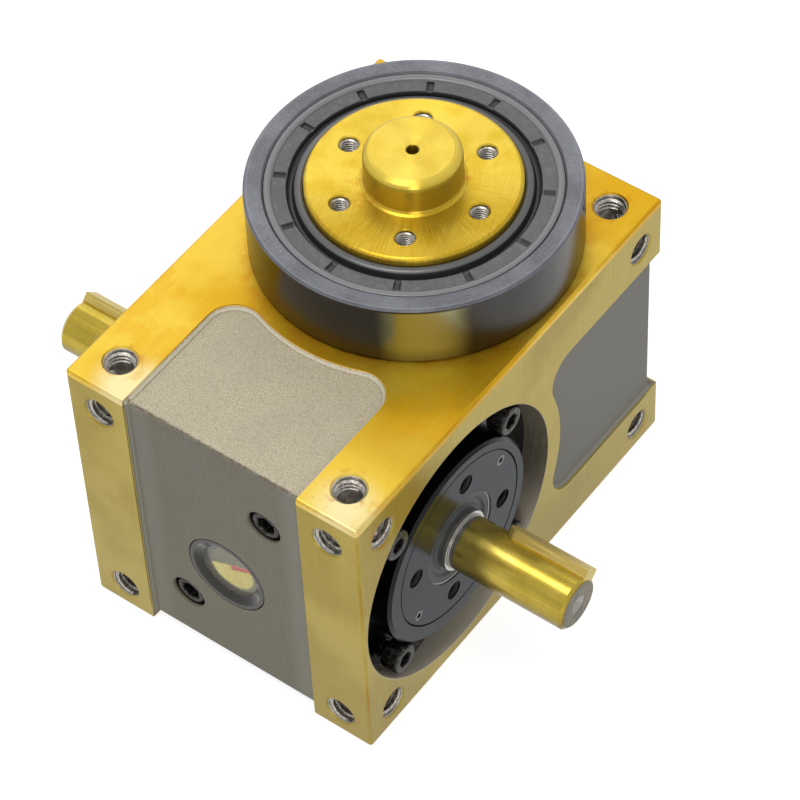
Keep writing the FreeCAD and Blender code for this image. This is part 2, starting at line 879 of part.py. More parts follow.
# cam followers: a stud pressed in the turret and a roller that turns on it
studs = []
pitch = Size(360) / stations
for index in range(count):
    angle = Size(-90) + pitch * (index + 0.5)
    degrees = angle.number
    facing = FreeCAD.Rotation(V(0, 0, 1), degrees).multiply(axes["X"])
    across, ahead = cosine(angle), sine(angle)
    root = (follower_root * across, follower_root * ahead, shaft_z)
    stud_length = roller_end + follower_head_height - follower_root
    pin_body = cylinder("stud_pin_%d" % (index + 1), follower_pin / 2, stud_length, root, facing)
    tip = (roller_end * across, roller_end * ahead, shaft_z)
    tip_head = cylinder(
        "stud_head_%d" % (index + 1), follower_head / 2, follower_head_height, tip, facing
    )
    studs.append(fuse("stud_%d" % (index + 1), pin_body, tip_head))
    output_spaces.append(pin_body)
    roller_at = (follower_start * across, follower_start * ahead, shaft_z)
    sleeve = turned(
        "follower_%d" % (index + 1),
        steps(
            0,
            [
                (0.4, follower / 2 - 0.4, follower / 2),
                (follower_width - roller_gap - 0.4, follower / 2),
                (follower_width - roller_gap, follower / 2, follower / 2 - 0.4),
            ],
            [(follower_width - roller_gap, follower_pin / 2 + roller_gap)],
        ),
        roller_at,
        facing,
    )
    keep("cam_roller_%d" % (index + 1), sleeve)
grouped("cam_follower_studs", studs)
keep("output_shaft", cut("output_body", output_blank, *output_spaces))
taper_bearing(
    "upper_bearing", (0, 0, upper_shoulder), "Z", upper_bore, cup_seat, upper_bearing, upper_roller, 16
)
taper_bearing(
    "lower_bearing", (0, 0, chamber_floor), "-Z", lower_bore, lower_cup, lower_bearing, lower_roller, 14
)

# input shaft with its globoidal cam
shaft_centre = (0, shaft_y, shaft_z)
half_shaft = [
    (input_shoulder, cam_hub / 2),
    (collar_end, journal / 2),
    (shaft_end - shaft_chamfer, shaft_width / 2),
    (shaft_end, shaft_width / 2, shaft_width / 2 - shaft_chamfer),
]
front_half = turned("front_half_shaft", steps(0, half_shaft), shaft_centre, "X")
rear_half = turned("rear_half_shaft", steps(0, half_shaft), shaft_centre, "-X")

cam_blank = cylinder(
    "cam_blank", cam_tip, cam_half_width * 2, (-cam_half_width, shaft_y, shaft_z), "X"
)
cam_throat = primitive(
    "Torus", "cam_throat", shaft_centre, "X", Radius1=working_distance, Radius2=root_reach
)
cam_core = cut("cam_core", cam_blank, cam_throat)


def rib_section(degrees):
    """Section of the cam's rib in the plane that the cam's turn brings to the turret.

    Its flanks stay at the same distance from the two followers that the rib runs between,
    while the turret turns by one station for each turn of the cam.
    """
    half_pitch = 180.0 / count
    centre = -90.0 - degrees / count
    offset = follower.number / 2 + flank_clearance.number
    crest = turret.number / 2 + cam_clearance.number
    root = root_reach.number + 0.3
    corners = []
    for side, reach in ((1, crest), (1, root), (-1, root), (-1, crest)):
        line = math.radians(centre + side * half_pitch)
        run = math.sqrt(reach * reach - offset * offset)
        x = run * math.cos(line) + side * offset * math.sin(line)
        y = run * math.sin(line) - side * offset * math.cos(line)
        corners.append(V(x, y, 0))
    turn = math.radians(degrees)
    placed = []
    for corner in corners:
        reach = corner.y + working_distance.number
        y = shaft_y.number + reach * math.cos(turn)
        z = shaft_z.number + reach * math.sin(turn)
        placed.append(V(corner.x, y, z))
    return Part.makePolygon(placed + placed[:1])


rib = doc.addObject("Part::Feature", "cam_rib")
turns = range(-360, 361, 15)
rib.Shape = Part.makeLoft([rib_section(degrees) for degrees in turns], True, False)
cam_rib = common("cam_rib_trimmed", rib, cam_blank)
key_cosine, key_sine = cosine(key_angle), sine(key_angle)


def shaft_key(node, side):
    """A parallel key: round at its inner end, square at the shaft's end."""
    radial = shaft_width / 2 - key_sink
    facing = FreeCAD.Rotation(V(1, 0, 0), key_angle.number - 90)
    start = key_start + key_width / 2
    length = shaft_end - key_setback - start
    low_x = start if side > 0 else -start - length
    low_y = shaft_y + radial * key_cosine + key_width / 2 * -key_sine
    low_z = shaft_z + radial * key_sine - key_width / 2 * -key_cosine
    blade = primitive(
        "Box",
        node + "_blade",
        (low_x, shaft_y + radial * key_cosine + key_width / 2 * -key_sine, low_z),
        facing,
        Length=length,
        Width=key_width,
        Height=key_height,
    )
    blade.Placement.Base = V(as_size(low_x).number, low_y.number, low_z.number)
    middle = (side * start, shaft_y + radial * key_cosine, shaft_z + radial * key_sine)
    nose = cylinder(node + "_nose", key_width / 2, key_height, middle, facing)
    return keep(node, fuse(node + "_body", blade, nose))


front_key = shaft_key("front_key", 1)
rear_key = shaft_key("rear_key", -1)
shaft_spaces = [front_key, rear_key]
for side, along in ((1, "-X"), (-1, "X")):
    outline = [
        (0, 0),
        (0, centre_hole / 2),
        (centre_depth / 2, centre_hole / 4),
        (centre_depth, centre_hole / 4),
        (centre_depth, 0),
    ]
    spot = (side * shaft_end, shaft_y, shaft_z)
    shaft_spaces.append(turned("centre_drill_" + along.strip("-"), outline, spot, along))
shaft_blank = fuse("camshaft_blank", front_half, rear_half, cam_core, cam_rib)
keep("camshaft", cut("camshaft_body", shaft_blank, *shaft_spaces))


# both ends of the input shaft: sleeve, bearing, nut, seal and screws
def shaft_end_pieces(prefix, side):
    along = "X" if side > 0 else "-X"
    inward = "-X" if side > 0 else "X"
    bore_centre = (0, bore_y, bore_height)
    sleeve_blank = turned(
        prefix + "_sleeve_blank",
        steps(
            input_shoulder,
            [
                (hub_floor, cam_bore / 2 - fit_gap),
                (flange_face, hub_bore / 2 - fit_gap),
                (hub_face - 0.8, sleeve_boss / 2),
                (hub_face, sleeve_boss / 2, sleeve_boss / 2 - 0.8),
            ],
        ),
        bore_centre,
        along,
    )
    nut_floor = cup_back + 0.8
    seat = cylinder(
        prefix + "_cup_seat",
        input_cup / 2,
        hub_face,
        (side * (input_shoulder - 1), shaft_y, shaft_z),
        along,
    )
    nut_seat = cylinder(
        prefix + "_nut_seat",
        nut_width / 2,
        hub_face,
        (side * nut_floor, shaft_y, shaft_z),
        along,
    )
    scallop = cylinder(
        prefix + "_scallop", chamber / 2, spigot_bottom - chamber_floor, (0, 0, chamber_floor)
    )
    groove_at = hub_floor - 2.6
    groove = turned(
        prefix + "_sleeve_groove",
        steps(
            groove_at - oring_section * 0.6,
            [(groove_at + oring_section * 0.6, cam_bore / 2 + 1)],
            [(groove_at + oring_section * 0.6, cam_bore / 2 - groove_depth)],
        ),
        bore_centre,
        along,
    )
    sleeve_spaces = [seat, nut_seat, scallop, groove]
    screws = []
    head_back = flange_face + clamp_stand
    shank_start = head_back + clamp_head_height
    for number, angle in enumerate(clamp_angles, 1):
        for step in (-1, 0, 1):
            y, z = around(clamp_circle, angle + step * slot_half_angle, (bore_y, bore_height))
            start = (side * (hub_floor - 1), y, z)
            sleeve_spaces.append(
                cylinder(prefix + "_slot", slot_width / 2, sleeve_flange + 2, start, along)
            )
        y, z = around(clamp_circle, angle, (bore_y, bore_height))
        name = "%s_clamp_screw_%d" % (prefix, number)
        outline = steps(
            0,
            [
                (0.4, clamp_head / 2 - 0.4, clamp_head / 2),
                (clamp_head_height, clamp_head / 2),
                (clamp_head_height + clamp_length, clamp_thread / 2),
            ],
        )
        top = (side * shank_start, y, z)
        body = turned(name, outline, top, inward)
        socket = hexagon(name + "_socket", clamp_socket, clamp_head_height / 2, top, inward)
        screws.append(cut(name + "_cut", body, socket))
    keep(prefix + "_eccentric_sleeve", cut(prefix + "_sleeve_body", sleeve_blank, *sleeve_spaces))
    grouped(prefix + "_clamp_screws", screws)
    oring(prefix + "_sleeve_oring", cam_bore / 2 - groove_depth / 2, groove_at, bore_centre, along)

    centre = (0, shaft_y, shaft_z)
    seal_start = hub_face - seal_width
    nut_blank = turned(
        prefix + "_nut_blank",
        steps(
            cup_back,
            [
                (nut_floor, input_cup / 2 - 1),
                (hub_face - 0.5, nut_width / 2),
                (hub_face, nut_width / 2, nut_width / 2 - 0.5),
            ],
            [
                (seal_start, journal / 2 + 1.5),
                (hub_face - 0.5, seal_ring / 2),
                (hub_face, seal_ring / 2, seal_ring / 2 + 0.5),
            ],
        ),
        centre,
        along,
    )
    nut_spaces = []
    for angle in (-10, 80, 170, 260):
        y, z = around(nut_pin_circle, angle, (shaft_y, shaft_z))
        start = (side * (hub_face - nut_pin_depth), y, z)
        nut_spaces.append(
            cylinder(prefix + "_pin_hole", nut_pin_hole / 2, nut_pin_depth + 1, start, along)
        )
    locks = []
    for angle in (35, 215):
        y, z = around(lock_circle, angle, (shaft_y, shaft_z))
        top = (side * hub_face, y, z)
        grub = cylinder(prefix + "_lock", lock_thread / 2, lock_length, top, inward)
        socket = hexagon(prefix + "_lock_socket", lock_thread / 2, lock_length / 3, top, inward)
        nut_spaces.append(grub)
        locks.append(cut(prefix + "_lock_screw", grub, socket))
    keep(prefix + "_adjusting_nut", cut(prefix + "_nut_body", nut_blank, *nut_spaces))
    grouped(prefix + "_lock_screws", locks)
    seal_outline = [
        (seal_start, seal_ring / 2),
        (hub_face - 0.5, seal_ring / 2),
        (hub_face - 0.5, seal_ring / 2 - 1.6),
        (hub_face - 1.1, seal_ring / 2 - 2.2),
        (hub_face - 1.1, journal / 2 + 1),
        (hub_face - 0.6, journal / 2 + 0.5),
        (hub_face - 0.6, journal / 2 + roller_gap),
        (hub_face - 1.6, journal / 2 + roller_gap),
        (seal_start + 1, journal / 2 + 0.9),
        (seal_start, journal / 2 + 0.9),
    ]
    keep(prefix + "_oil_seal", turned(prefix + "_seal", seal_outline, centre, along))
    taper_bearing(
        prefix + "_bearing",
        (side * input_shoulder, shaft_y, shaft_z),
        along,
        journal,
        input_cup,
        input_bearing,
        input_roller,
        14,
    )


shaft_end_pieces("front", 1)
shaft_end_pieces("rear", -1)

# sight glass and oil plugs in the input end
glass_outline = steps(
    0,
    [(0.4, glass_width / 2 - 0.4, glass_width / 2), (glass_length, glass_width / 2)],
    [
        (glass_lens_sink, glass_window / 2 + glass_bevel, glass_window / 2),
        (glass_length - 0.8, glass_lens / 2),
        (glass_length, glass_window / 2),
    ],
)
keep("sight_glass_body", turned("glass_body", glass_outline, glass_centre, "Y"))
lens_at = (0, -end_face + glass_lens_sink, glass_height)
lens = cylinder("glass_lens_disc", glass_lens / 2, glass_lens_thickness, lens_at, "Y")
keep("sight_glass_lens", lens)
reflector_depth = glass_lens_sink + glass_lens_thickness + reflector_gap
reflector_at = (0, -end_face + reflector_depth, glass_height)
reflector = cylinder("glass_reflector", glass_lens / 2, reflector_thickness, reflector_at, "Y")
keep("sight_glass_reflector", reflector)
for name, (x, z) in plug_spots.items():
    start = (x, -end_face + plug_sink, z)
    outline = steps(
        0, [(0.6, plug_thread / 2 - 0.6, plug_thread / 2), (plug_length, plug_thread / 2)]
    )
    body = turned(name + "_blank", outline, start, "Y")
    socket = hexagon(name + "_socket", plug_socket, plug_length / 2, start, "Y")
    keep(name, cut(name + "_body", body, socket))

# rebuild, check and write the pieces
doc.recompute()
for thing in doc.Objects:
    if "Invalid" in thing.State or "Error" in thing.State:
        raise RuntimeError("%s failed: %s" % (thing.Name, thing.State))
os.makedirs("parts", exist_ok=True)
for node, thing in nodes.items():
    shape = thing.Shape
    if shape.isNull() or not shape.isValid():
        raise RuntimeError("%s has no valid shape" % node)
    shape.exportStep("parts/%s.step" % node)
    low, high = shape.BoundBox, shape.BoundBox
    print(
        "%-26s solids %2d volume %10.1f  x %7.2f..%7.2f y %7.2f..%7.2f z %7.2f..%7.2f"
        % (
            node,
            len(shape.Solids),
            shape.Volume,
            low.XMin,
            high.XMax,
            low.YMin,
            high.YMax,
            low.ZMin,
            high.ZMax,
        )
    )
print("%d nodes" % len(nodes))
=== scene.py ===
import math

import bmesh
import bpy
from mathutils import Matrix, Vector


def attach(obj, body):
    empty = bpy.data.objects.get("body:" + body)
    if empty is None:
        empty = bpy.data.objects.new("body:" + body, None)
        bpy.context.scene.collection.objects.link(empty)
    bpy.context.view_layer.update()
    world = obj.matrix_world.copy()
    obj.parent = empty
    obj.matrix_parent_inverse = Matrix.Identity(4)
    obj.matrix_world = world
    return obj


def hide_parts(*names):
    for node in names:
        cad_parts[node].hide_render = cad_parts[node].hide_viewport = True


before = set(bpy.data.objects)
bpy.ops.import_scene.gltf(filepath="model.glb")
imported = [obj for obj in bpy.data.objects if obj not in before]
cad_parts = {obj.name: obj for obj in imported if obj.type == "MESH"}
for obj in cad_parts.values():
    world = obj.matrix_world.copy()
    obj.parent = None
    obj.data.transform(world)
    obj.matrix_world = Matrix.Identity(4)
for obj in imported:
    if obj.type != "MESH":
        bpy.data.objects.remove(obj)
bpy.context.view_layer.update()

MM = 0.001
TURN = 2 * math.pi
SHARP_ANGLE = math.radians(32)

# sizes and places of the real parts, in millimetres in the frame of the model
BODY_TOP = 89.0
BODY_MIDDLE = Vector((0, -20.25, 44.5))
BODY_REACH = Vector((44.5, 64.75, 44.5))
RELIEF_DEPTH = 1.5
HOLE_MIDDLE = Vector((0, -20, 43.2))
HOLE_REACH = Vector((35, 55, 35.2))
HIDDEN_SHIFT = 1.0
THREAD_RADIUS = 4.0
THREAD_PITCH = 1.25
THREAD_START = 0.7
BORE_CENTRE = Vector((0, -45, 42.6))
BORE_RADIUS = 38.5
BORE_FLOOR = 32.5
SHAFT_CENTRE = Vector((0, -44.4, 43.4))
SHAFT_RADIUS = 7.5
SHAFT_END = 80.0
COLLAR_END = 47.0
NUT_FACE = 44.1
CLAMP_FACE = 44.0
CLAMP_CIRCLE = 33.4
GLASS_AXIS = Vector((0, 0, 37.4))
GLASS_FACE = -85.0
PLUG_FACE = -82.7
OUTPUT_CENTRE = Vector((0, 0, 0))
RING_TOP = 108.0
SEAL_TOP = 107.7
TABLE_TOP = 109.5
TABLE_THREADS = 6
TABLE_THREAD_CIRCLE = 20.0
BOSS_HEIGHT = 10.0

# directions of a turned part's axis
ALONG_X, ALONG_Y, ALONG_Z = 0, 1, 2


class Value:
    """A socket of a node, with arithmetic that adds Math nodes."""

    def __init__(self, nodes, socket):
        self.nodes = nodes
        self.socket = socket

    def __add__(self, other):
        return self.nodes.math("ADD", self, other)

    __radd__ = __add__

    def __mul__(self, other):
        return self.nodes.math("MULTIPLY", self, other)

    __rmul__ = __mul__

    def __sub__(self, other):
        return self.nodes.math("SUBTRACT", self, other)

    def __rsub__(self, other):
        return self.nodes.math("SUBTRACT", other, self)

    def __truediv__(self, other):
        return self.nodes.math("DIVIDE", self, other)

    def __pow__(self, other):
        return self.nodes.math("POWER", self, other)

    def __abs__(self):
        return self.nodes.math("ABSOLUTE", self)


class Nodes:
    """Nodes of one tree: of a finish, the floor or the studio."""

    def __init__(self, tree):
        self.tree = tree

    def node(self, kind, settings=None, inputs=None, output=0):
        """Adds a node with its settings, then its numbers or links, and gives one output."""
        made = self.tree.nodes.new(kind)
        for key, value in (settings or {}).items():
            setattr(made, key, value)
        for key, value in (inputs or {}).items():
            self.feed(made.inputs[key], value)
        return Value(self, made.outputs[output]) if made.outputs else None

    def feed(self, socket, value):
        if isinstance(value, Value):
            self.tree.links.new(value.socket, socket)
        elif socket.type == "RGBA" and len(value) == 3:
            socket.default_value = (*value, 1.0)
        else:
            socket.default_value = value

    def math(self, operation, *values):
        return self.node("ShaderNodeMath", {"operation": operation}, dict(enumerate(values)))

    def highest(self, *values):
        most = values[0]
        for value in values[1:]:
            most = self.math("MAXIMUM", most, value)
        return most

    def lowest(self, *values):
        least = values[0]
        for value in values[1:]:
            least = self.math("MINIMUM", least, value)
        return least


class Finish(Nodes):
    """A procedural material. Its patterns are laid out in millimetres of the model."""

    def __init__(self, name):
        self.material = bpy.data.materials.new(name)
        self.material.use_nodes = True
        super().__init__(self.material.node_tree)
        self.shader = self.tree.nodes["Principled BSDF"]
        place = self.node("ShaderNodeTexCoord", output="Object")
        self.place = self.vector("SCALE", place, Scale=1 / MM)
        parts = self.node("ShaderNodeSeparateXYZ", None, {0: self.place}).socket.node.outputs
        self.x, self.y, self.z = [Value(self, part) for part in parts]

    def vector(self, operation, *vectors, **named):
        inputs = dict(enumerate(vectors))
        inputs.update(named)
        return self.node("ShaderNodeVectorMath", {"operation": operation}, inputs)

    def together(self, x, y, z):
        return self.node("ShaderNodeCombineXYZ", None, {"X": x, "Y": y, "Z": z})

    def ease(self, value, low, high, first=0.0):
        """Goes smoothly from the first number to 1 as the value goes from low to high."""
        inputs = {"Value": value, "From Min": low, "From Max": high, "To Min": first}
        return self.node("ShaderNodeMapRange", {"interpolation_type": "SMOOTHSTEP"}, inputs)

    def above(self, value, limit):
        return self.math("GREATER_THAN", value, limit)

    def far(self, first, second):
        """Length of a flat vector."""
        return (first * first + second * second) ** 0.5

    def grain(self, scale, detail, roughness, stretch=(1, 1, 1), place=None):
        """Noise from 0 to 1, with the given number of features in a millimetre."""
        spot = self.vector("MULTIPLY", place or self.place, stretch)
        inputs = {"Vector": spot, "Scale": scale, "Detail": detail, "Roughness": roughness}
        return self.node("ShaderNodeTexNoise", None, inputs)

    def specks(self, scale):
        """Distance to the nearest of some scattered points."""
        return self.node("ShaderNodeTexVoronoi", None, {"Vector": self.place, "Scale": scale})

    def mix(self, share, first, second):
        """Colour that goes from the first to the second as the share goes from 0 to 1."""
        settings = {"data_type": "RGBA", "clamp_factor": True}
        return self.node("ShaderNodeMix", settings, {0: share, 6: first, 7: second}, 2)

    def bump(self, height, depth, normal=None):
        """Relief of the given depth in millimetres."""
        inputs = {"Height": height, "Distance": depth * MM, "Strength": 1.0}
        if normal:
            inputs["Normal"] = normal
        return self.node("ShaderNodeBump", None, inputs)

    def surface(self, **inputs):
        for key, value in inputs.items():
            self.feed(self.shader.inputs[key.replace("_", " ")], value)


def colour(red, green, blue):
    """A colour that is given as on a screen, from 0 to 255."""
    def linear(part):
        share = part / 255
        return share / 12.92 if share <= 0.04045 else ((share + 0.055) / 1.055) ** 2.4
    return tuple(linear(part) for part in (red, green, blue))


def scaled(tint, times):
    """A colour made brighter or darker."""
    return tuple(min(1, part * times) for part in tint)


TOP_GOLD = colour(200, 156, 24)
TOP_GOLD_PALE = colour(214, 180, 60)
# the film on the upright and lower faces is given darker and more olive than on the top: painted
# shade
SIDE_GOLD = colour(166, 147, 62)
SIDE_GOLD_DEEP = colour(150, 130, 44)
WHITISH_FILM = colour(224, 214, 164)
RUST = colour(168, 96, 18)
CASTING = colour(210, 200, 172)
CASTING_DARK = colour(172, 162, 138)
# the casting of the upright reliefs is given much darker than the top relief's: painted shade
END_CASTING = colour(133, 128, 112)
END_CASTING_DARK = colour(116, 111, 96)
SIDE_CASTING = colour(140, 139, 133)
BARE_STEEL = colour(150, 148, 142)
OILED_STEEL = colour(30, 31, 32)
OILED_STEEL_LIGHT = colour(42, 44, 45)
# painted shade for the seal's gap and notches
PAINTED_SHADE_BLACK = colour(20, 20, 20)

# whitish patches of the top film: x, y, outer and inner radius, and how far clouds bend them
WHITISH_PATCHES = ((-29, -79, 20, 10, 16), (37, -80, 21, 9, 14))


def nearest_hole(f, place):
    """Distance to the axis of the nearest tapped hole, over the three pairs of faces."""
    across = [abs(part - middle) for part, middle in zip(place, HOLE_MIDDLE)]
    base = 1 - f.above(f.z, BODY_MIDDLE.z)
    back = f.above(f.y, HOLE_MIDDLE.y)
    rear = 1 - f.above(f.x, 0)
    upright = f.far(across[0] - HOLE_REACH.x - base * HIDDEN_SHIFT, across[1] - HOLE_REACH.y)
    endwise = f.far(across[0] - HOLE_REACH.x - back * HIDDEN_SHIFT, across[2] - HOLE_REACH.z)
    sideways = f.far(across[1] - HOLE_REACH.y - rear * HIDDEN_SHIFT, across[2] - HOLE_REACH.z)
    return f.lowest(upright, endwise, sideways)


def top_film(f, clouds):
    """Golden film of the top face, cloudy, with whitish patches near the input end."""
    film = f.mix(f.ease(clouds, 0.40, 0.58), TOP_GOLD, TOP_GOLD_PALE)
    front = f.ease(f.x + clouds * 20, 24, 42) * f.ease(f.y, -20, -36) * f.ease(f.y, -72, -60)
    film = f.mix(front * 0.55, film, colour(180, 140, 18))
    patches = [
        f.ease(f.far(f.x - x, f.y - y) + clouds * bend, outer, inner)
        for x, y, outer, inner, bend in WHITISH_PATCHES
    ]
    film = f.mix(f.highest(*patches) * 0.85, film, WHITISH_FILM)
    cloud = f.ease(f.grain(0.055, 4, 0.6), 0.50, 0.58)
    return f.mix(cloud * 0.42, film, colour(204, 152, 8))


def side_film(f, clouds):
    """Golden film of the other faces, with painted shade making it darker and more olive than the
    top, and paler towards the base as a painted reflection.
    """
    film = f.mix(f.ease(clouds, 0.4, 0.62), SIDE_GOLD, SIDE_GOLD_DEEP)
    # paler towards the base: painted reflection
    low = 1 - f.ease(f.z + clouds * 30, 20, 85)
    return f.mix(low * 0.2, film, colour(152, 143, 100))


def stained_film(f, film, clouds, fine, upface, lip, worn):
    """Film with stains at hole mouths, worn edges and the foot of the ring, and small pits."""
    stain = f.grain(0.22, 5, 0.7)
    film = f.mix(f.ease(stain, 0.50, 0.68) * lip * 0.6, film, RUST)
    film = f.mix(worn * 0.5, film, RUST)
    ring_foot = f.ease(f.far(f.x, f.y) + clouds * 8, 52, 46) * upface
    film = f.mix(ring_foot * f.ease(stain, 0.36, 0.6) * 0.45, film, colour(186, 116, 14))
    pit = 1 - f.ease(f.specks(0.16), 0.02, 0.07)
    return f.mix(pit * f.ease(fine, 0.5, 0.6) * 0.6, film, colour(110, 80, 24))


def top_casting(f, sand):
    """Casting of the top relief: fine blasted grain with dimples, and bright sparks that are
    painted glints.
    """
    raw = f.mix(f.ease(sand, 0.36, 0.64), CASTING_DARK, CASTING)
    patch = f.ease(f.grain(0.07, 4, 0.6), 0.4, 0.65)
    raw = f.mix(patch * 0.35, raw, colour(178, 170, 150))
    dimple = f.ease(f.grain(0.9, 3, 0.65), 0.5, 0.64)
    raw = f.mix(dimple * 0.3, raw, colour(156, 146, 120))
    # painted glints on the blasted grain
    spark = f.ease(f.grain(3.0, 2, 0.6), 0.64, 0.72)
    return f.mix(spark * 0.5, raw, colour(236, 230, 208))


def flank_casting(f, sand, brush, side):
    """Casting of the upright reliefs, brushed, with scale and painted light on a soft swell near
    its side edges.
    """
    raw = f.mix(f.ease(sand, 0.3, 0.7), END_CASTING_DARK, END_CASTING)
    raw = f.mix(f.ease(brush, 0.5, 0.7) * 0.3, raw, colour(144, 142, 132))
    scale = f.ease(f.grain(0.05, 4, 0.6), 0.42, 0.6)
    raw = f.mix(scale * 0.2, raw, colour(124, 124, 120))
    # painted light on the soft slope near the relief's side edges
    rise = f.ease(side, 18, 23.5) * f.ease(side, 26.5, 24.5) * f.ease(f.y, -70, -80)
    raw = f.mix(rise * 0.35, raw, colour(158, 156, 146))
    return f.mix(f.ease(side, 38, 41) * 0.8, raw, SIDE_CASTING)


def edged_casting(f, raw, skin, corner, upface):
    """Casting with painted highlights on the slopes round its reliefs, painted shade at their
    feet, and chipped outer corners.
    """
    slope = f.ease(skin, 0.6, 0.85) * (1 - f.ease(skin, 1.0, 1.2))
    foot = f.ease(skin, 1.2, 1.34) * (1 - f.ease(skin, RELIEF_DEPTH - 0.07, RELIEF_DEPTH - 0.01))
    # painted shadow at the foot of each relief's slope
    raw = f.mix(foot * (0.1 + upface * 0.3), raw, colour(128, 120, 98))
    # painted highlight along the slope
    raw = f.mix(slope * (0.15 + upface * 0.35), raw, colour(232, 226, 210))
    chips = (1 - f.ease(corner, 2.15, 2.6)) * f.ease(f.grain(0.9, 4, 0.7), 0.46, 0.56)
    return f.mix(chips * 0.7, raw, colour(104, 84, 60))


def bored_wall(f):
    """Turned wall of the side bores, with painted light on its lower side."""
    wall = f.grain(0.8, 4, 0.6, (4.0, 0.3, 0.3))
    cut = f.mix(f.ease(wall, 0.3, 0.75), colour(128, 119, 102), colour(160, 151, 132))
    # painted light on the lower part of the wall
    return f.mix(f.ease(f.z, 40, 14) * 0.9, cut, colour(226, 216, 196))


def gold_on_iron():
    """Machined cast iron under a golden film, with raw blasted reliefs."""
    f = Finish("gold_film_on_cast_iron")
    place = (f.x, f.y, f.z)
    side = abs(f.x)
    upface = f.ease(f.z, BODY_TOP - 2.1, BODY_TOP - 1.7)

    # how far a point lies under the block's faces, and under its nearest edge
    a, b, c = [
        reach - abs(part - middle)
        for part, middle, reach in zip(place, BODY_MIDDLE, BODY_REACH)
    ]
    skin = f.lowest(a, b, c)
    corner = f.highest(f.lowest(a, b), f.lowest(f.highest(a, b), c))
    deep = f.ease(skin, RELIEF_DEPTH + 0.8, RELIEF_DEPTH + 1.1)
    cast = f.ease(skin, 0.32, 0.55) * (1 - deep)

    # tapped holes, the film round their mouths, and the side bores
    reach = nearest_hole(f, place)
    hole = 1 - f.ease(reach, THREAD_RADIUS + 0.1, THREAD_RADIUS + 0.3)
    lip = (1 - f.ease(reach, THREAD_RADIUS + 0.6, THREAD_RADIUS + 3)) * (1 - hole)
    hub = f.far(f.y - BORE_CENTRE.y, f.z - BORE_CENTRE.z)
    pocket = f.above(side, BORE_FLOOR - 0.5)
    bore = (1 - f.ease(hub, BORE_RADIUS + 0.02, BORE_RADIUS + 0.2)) * pocket

    clouds = f.grain(0.03, 3, 0.5)
    fine = f.grain(0.35, 4, 0.6)
    sand = f.grain(2.8, 2, 0.6)
    brush_side = f.grain(1.0, 4, 0.6, (3.2, 3.2, 0.05))
    brush_top = f.grain(1.0, 3, 0.6, (2.4, 0.05, 1.0))
    brush = brush_side * (1 - upface) + brush_top * upface
    worn = (1 - f.ease(corner, 0.1, 0.7)) * f.ease(f.grain(0.09, 4, 0.6), 0.42, 0.6)

    film = f.mix(upface, side_film(f, clouds), top_film(f, clouds))
    film = f.mix(f.ease(brush, 0.50, 0.76) * 0.14, film, colour(214, 198, 108))
    film = f.mix(f.ease(brush, 0.50, 0.26) * 0.14, film, colour(140, 112, 24))
    film = stained_film(f, film, clouds, fine, upface, lip, worn)
    raw = f.mix(upface, flank_casting(f, sand, brush_side, side), top_casting(f, sand))
    raw = edged_casting(f, raw, skin, corner, upface)
    steel = f.mix(f.ease(fine, 0.4, 0.7), colour(150, 146, 138), colour(214, 208, 196))

    skin_colour = f.mix(cast, film, raw)
    skin_colour = f.mix(deep, skin_colour, colour(74, 69, 60))
    skin_colour = f.mix(bore, skin_colour, bored_wall(f))
    skin_colour = f.mix(hole, skin_colour, steel)
    metal = (1 - cast) * 0.85 + cast * 0.12
    metal = metal * (1 - bore) + bore * 0.3
    metal = metal * (1 - hole) + hole * 0.9
    rough = 0.34 + fine * 0.1 + worn * 0.15
    rough = rough * (1 - cast) + cast * 0.72
    rough = rough * (1 - bore) + bore * 0.45
    blasted = sand * (0.5 + upface * 0.4) * cast
    grain = f.bump(brush * 0.3 * (1 - cast) + blasted, 0.12)
    swell = f.ease(side, 26.5, 20.0) * f.ease(f.z, BODY_TOP - 2.1, BODY_TOP - 6)
    soft = f.bump(swell * -1 * cast, 0.9, grain)
    f.surface(Base_Color=skin_colour, Metallic=metal, Roughness=rough, Normal=soft)
    return f


def lathe_marks(f, centre, along, marks_in_mm):
    """Places across and along a turned part's axis, its radius there, and rings of noise."""
    across = [f.x - centre.x, f.y - centre.y, f.z - centre.z]
    length = across.pop(along)
    radius = f.far(*across)
    spot = f.together(radius * marks_in_mm, length * marks_in_mm, 0)
    inputs = {"Vector": spot, "Scale": 1.0, "Detail": 3.0}
    rings = f.node("ShaderNodeTexNoise", {"noise_dimensions": "2D"}, inputs)
    return across, length, radius, rings


def ringed_film(f, film, rings, share):
    """Golden film with light and dark lathe marks."""
    film = f.mix(f.ease(rings, 0.5, 0.75) * share, film, colour(232, 206, 96))
    return f.mix(f.ease(rings, 0.5, 0.25) * share, film, colour(128, 96, 12))


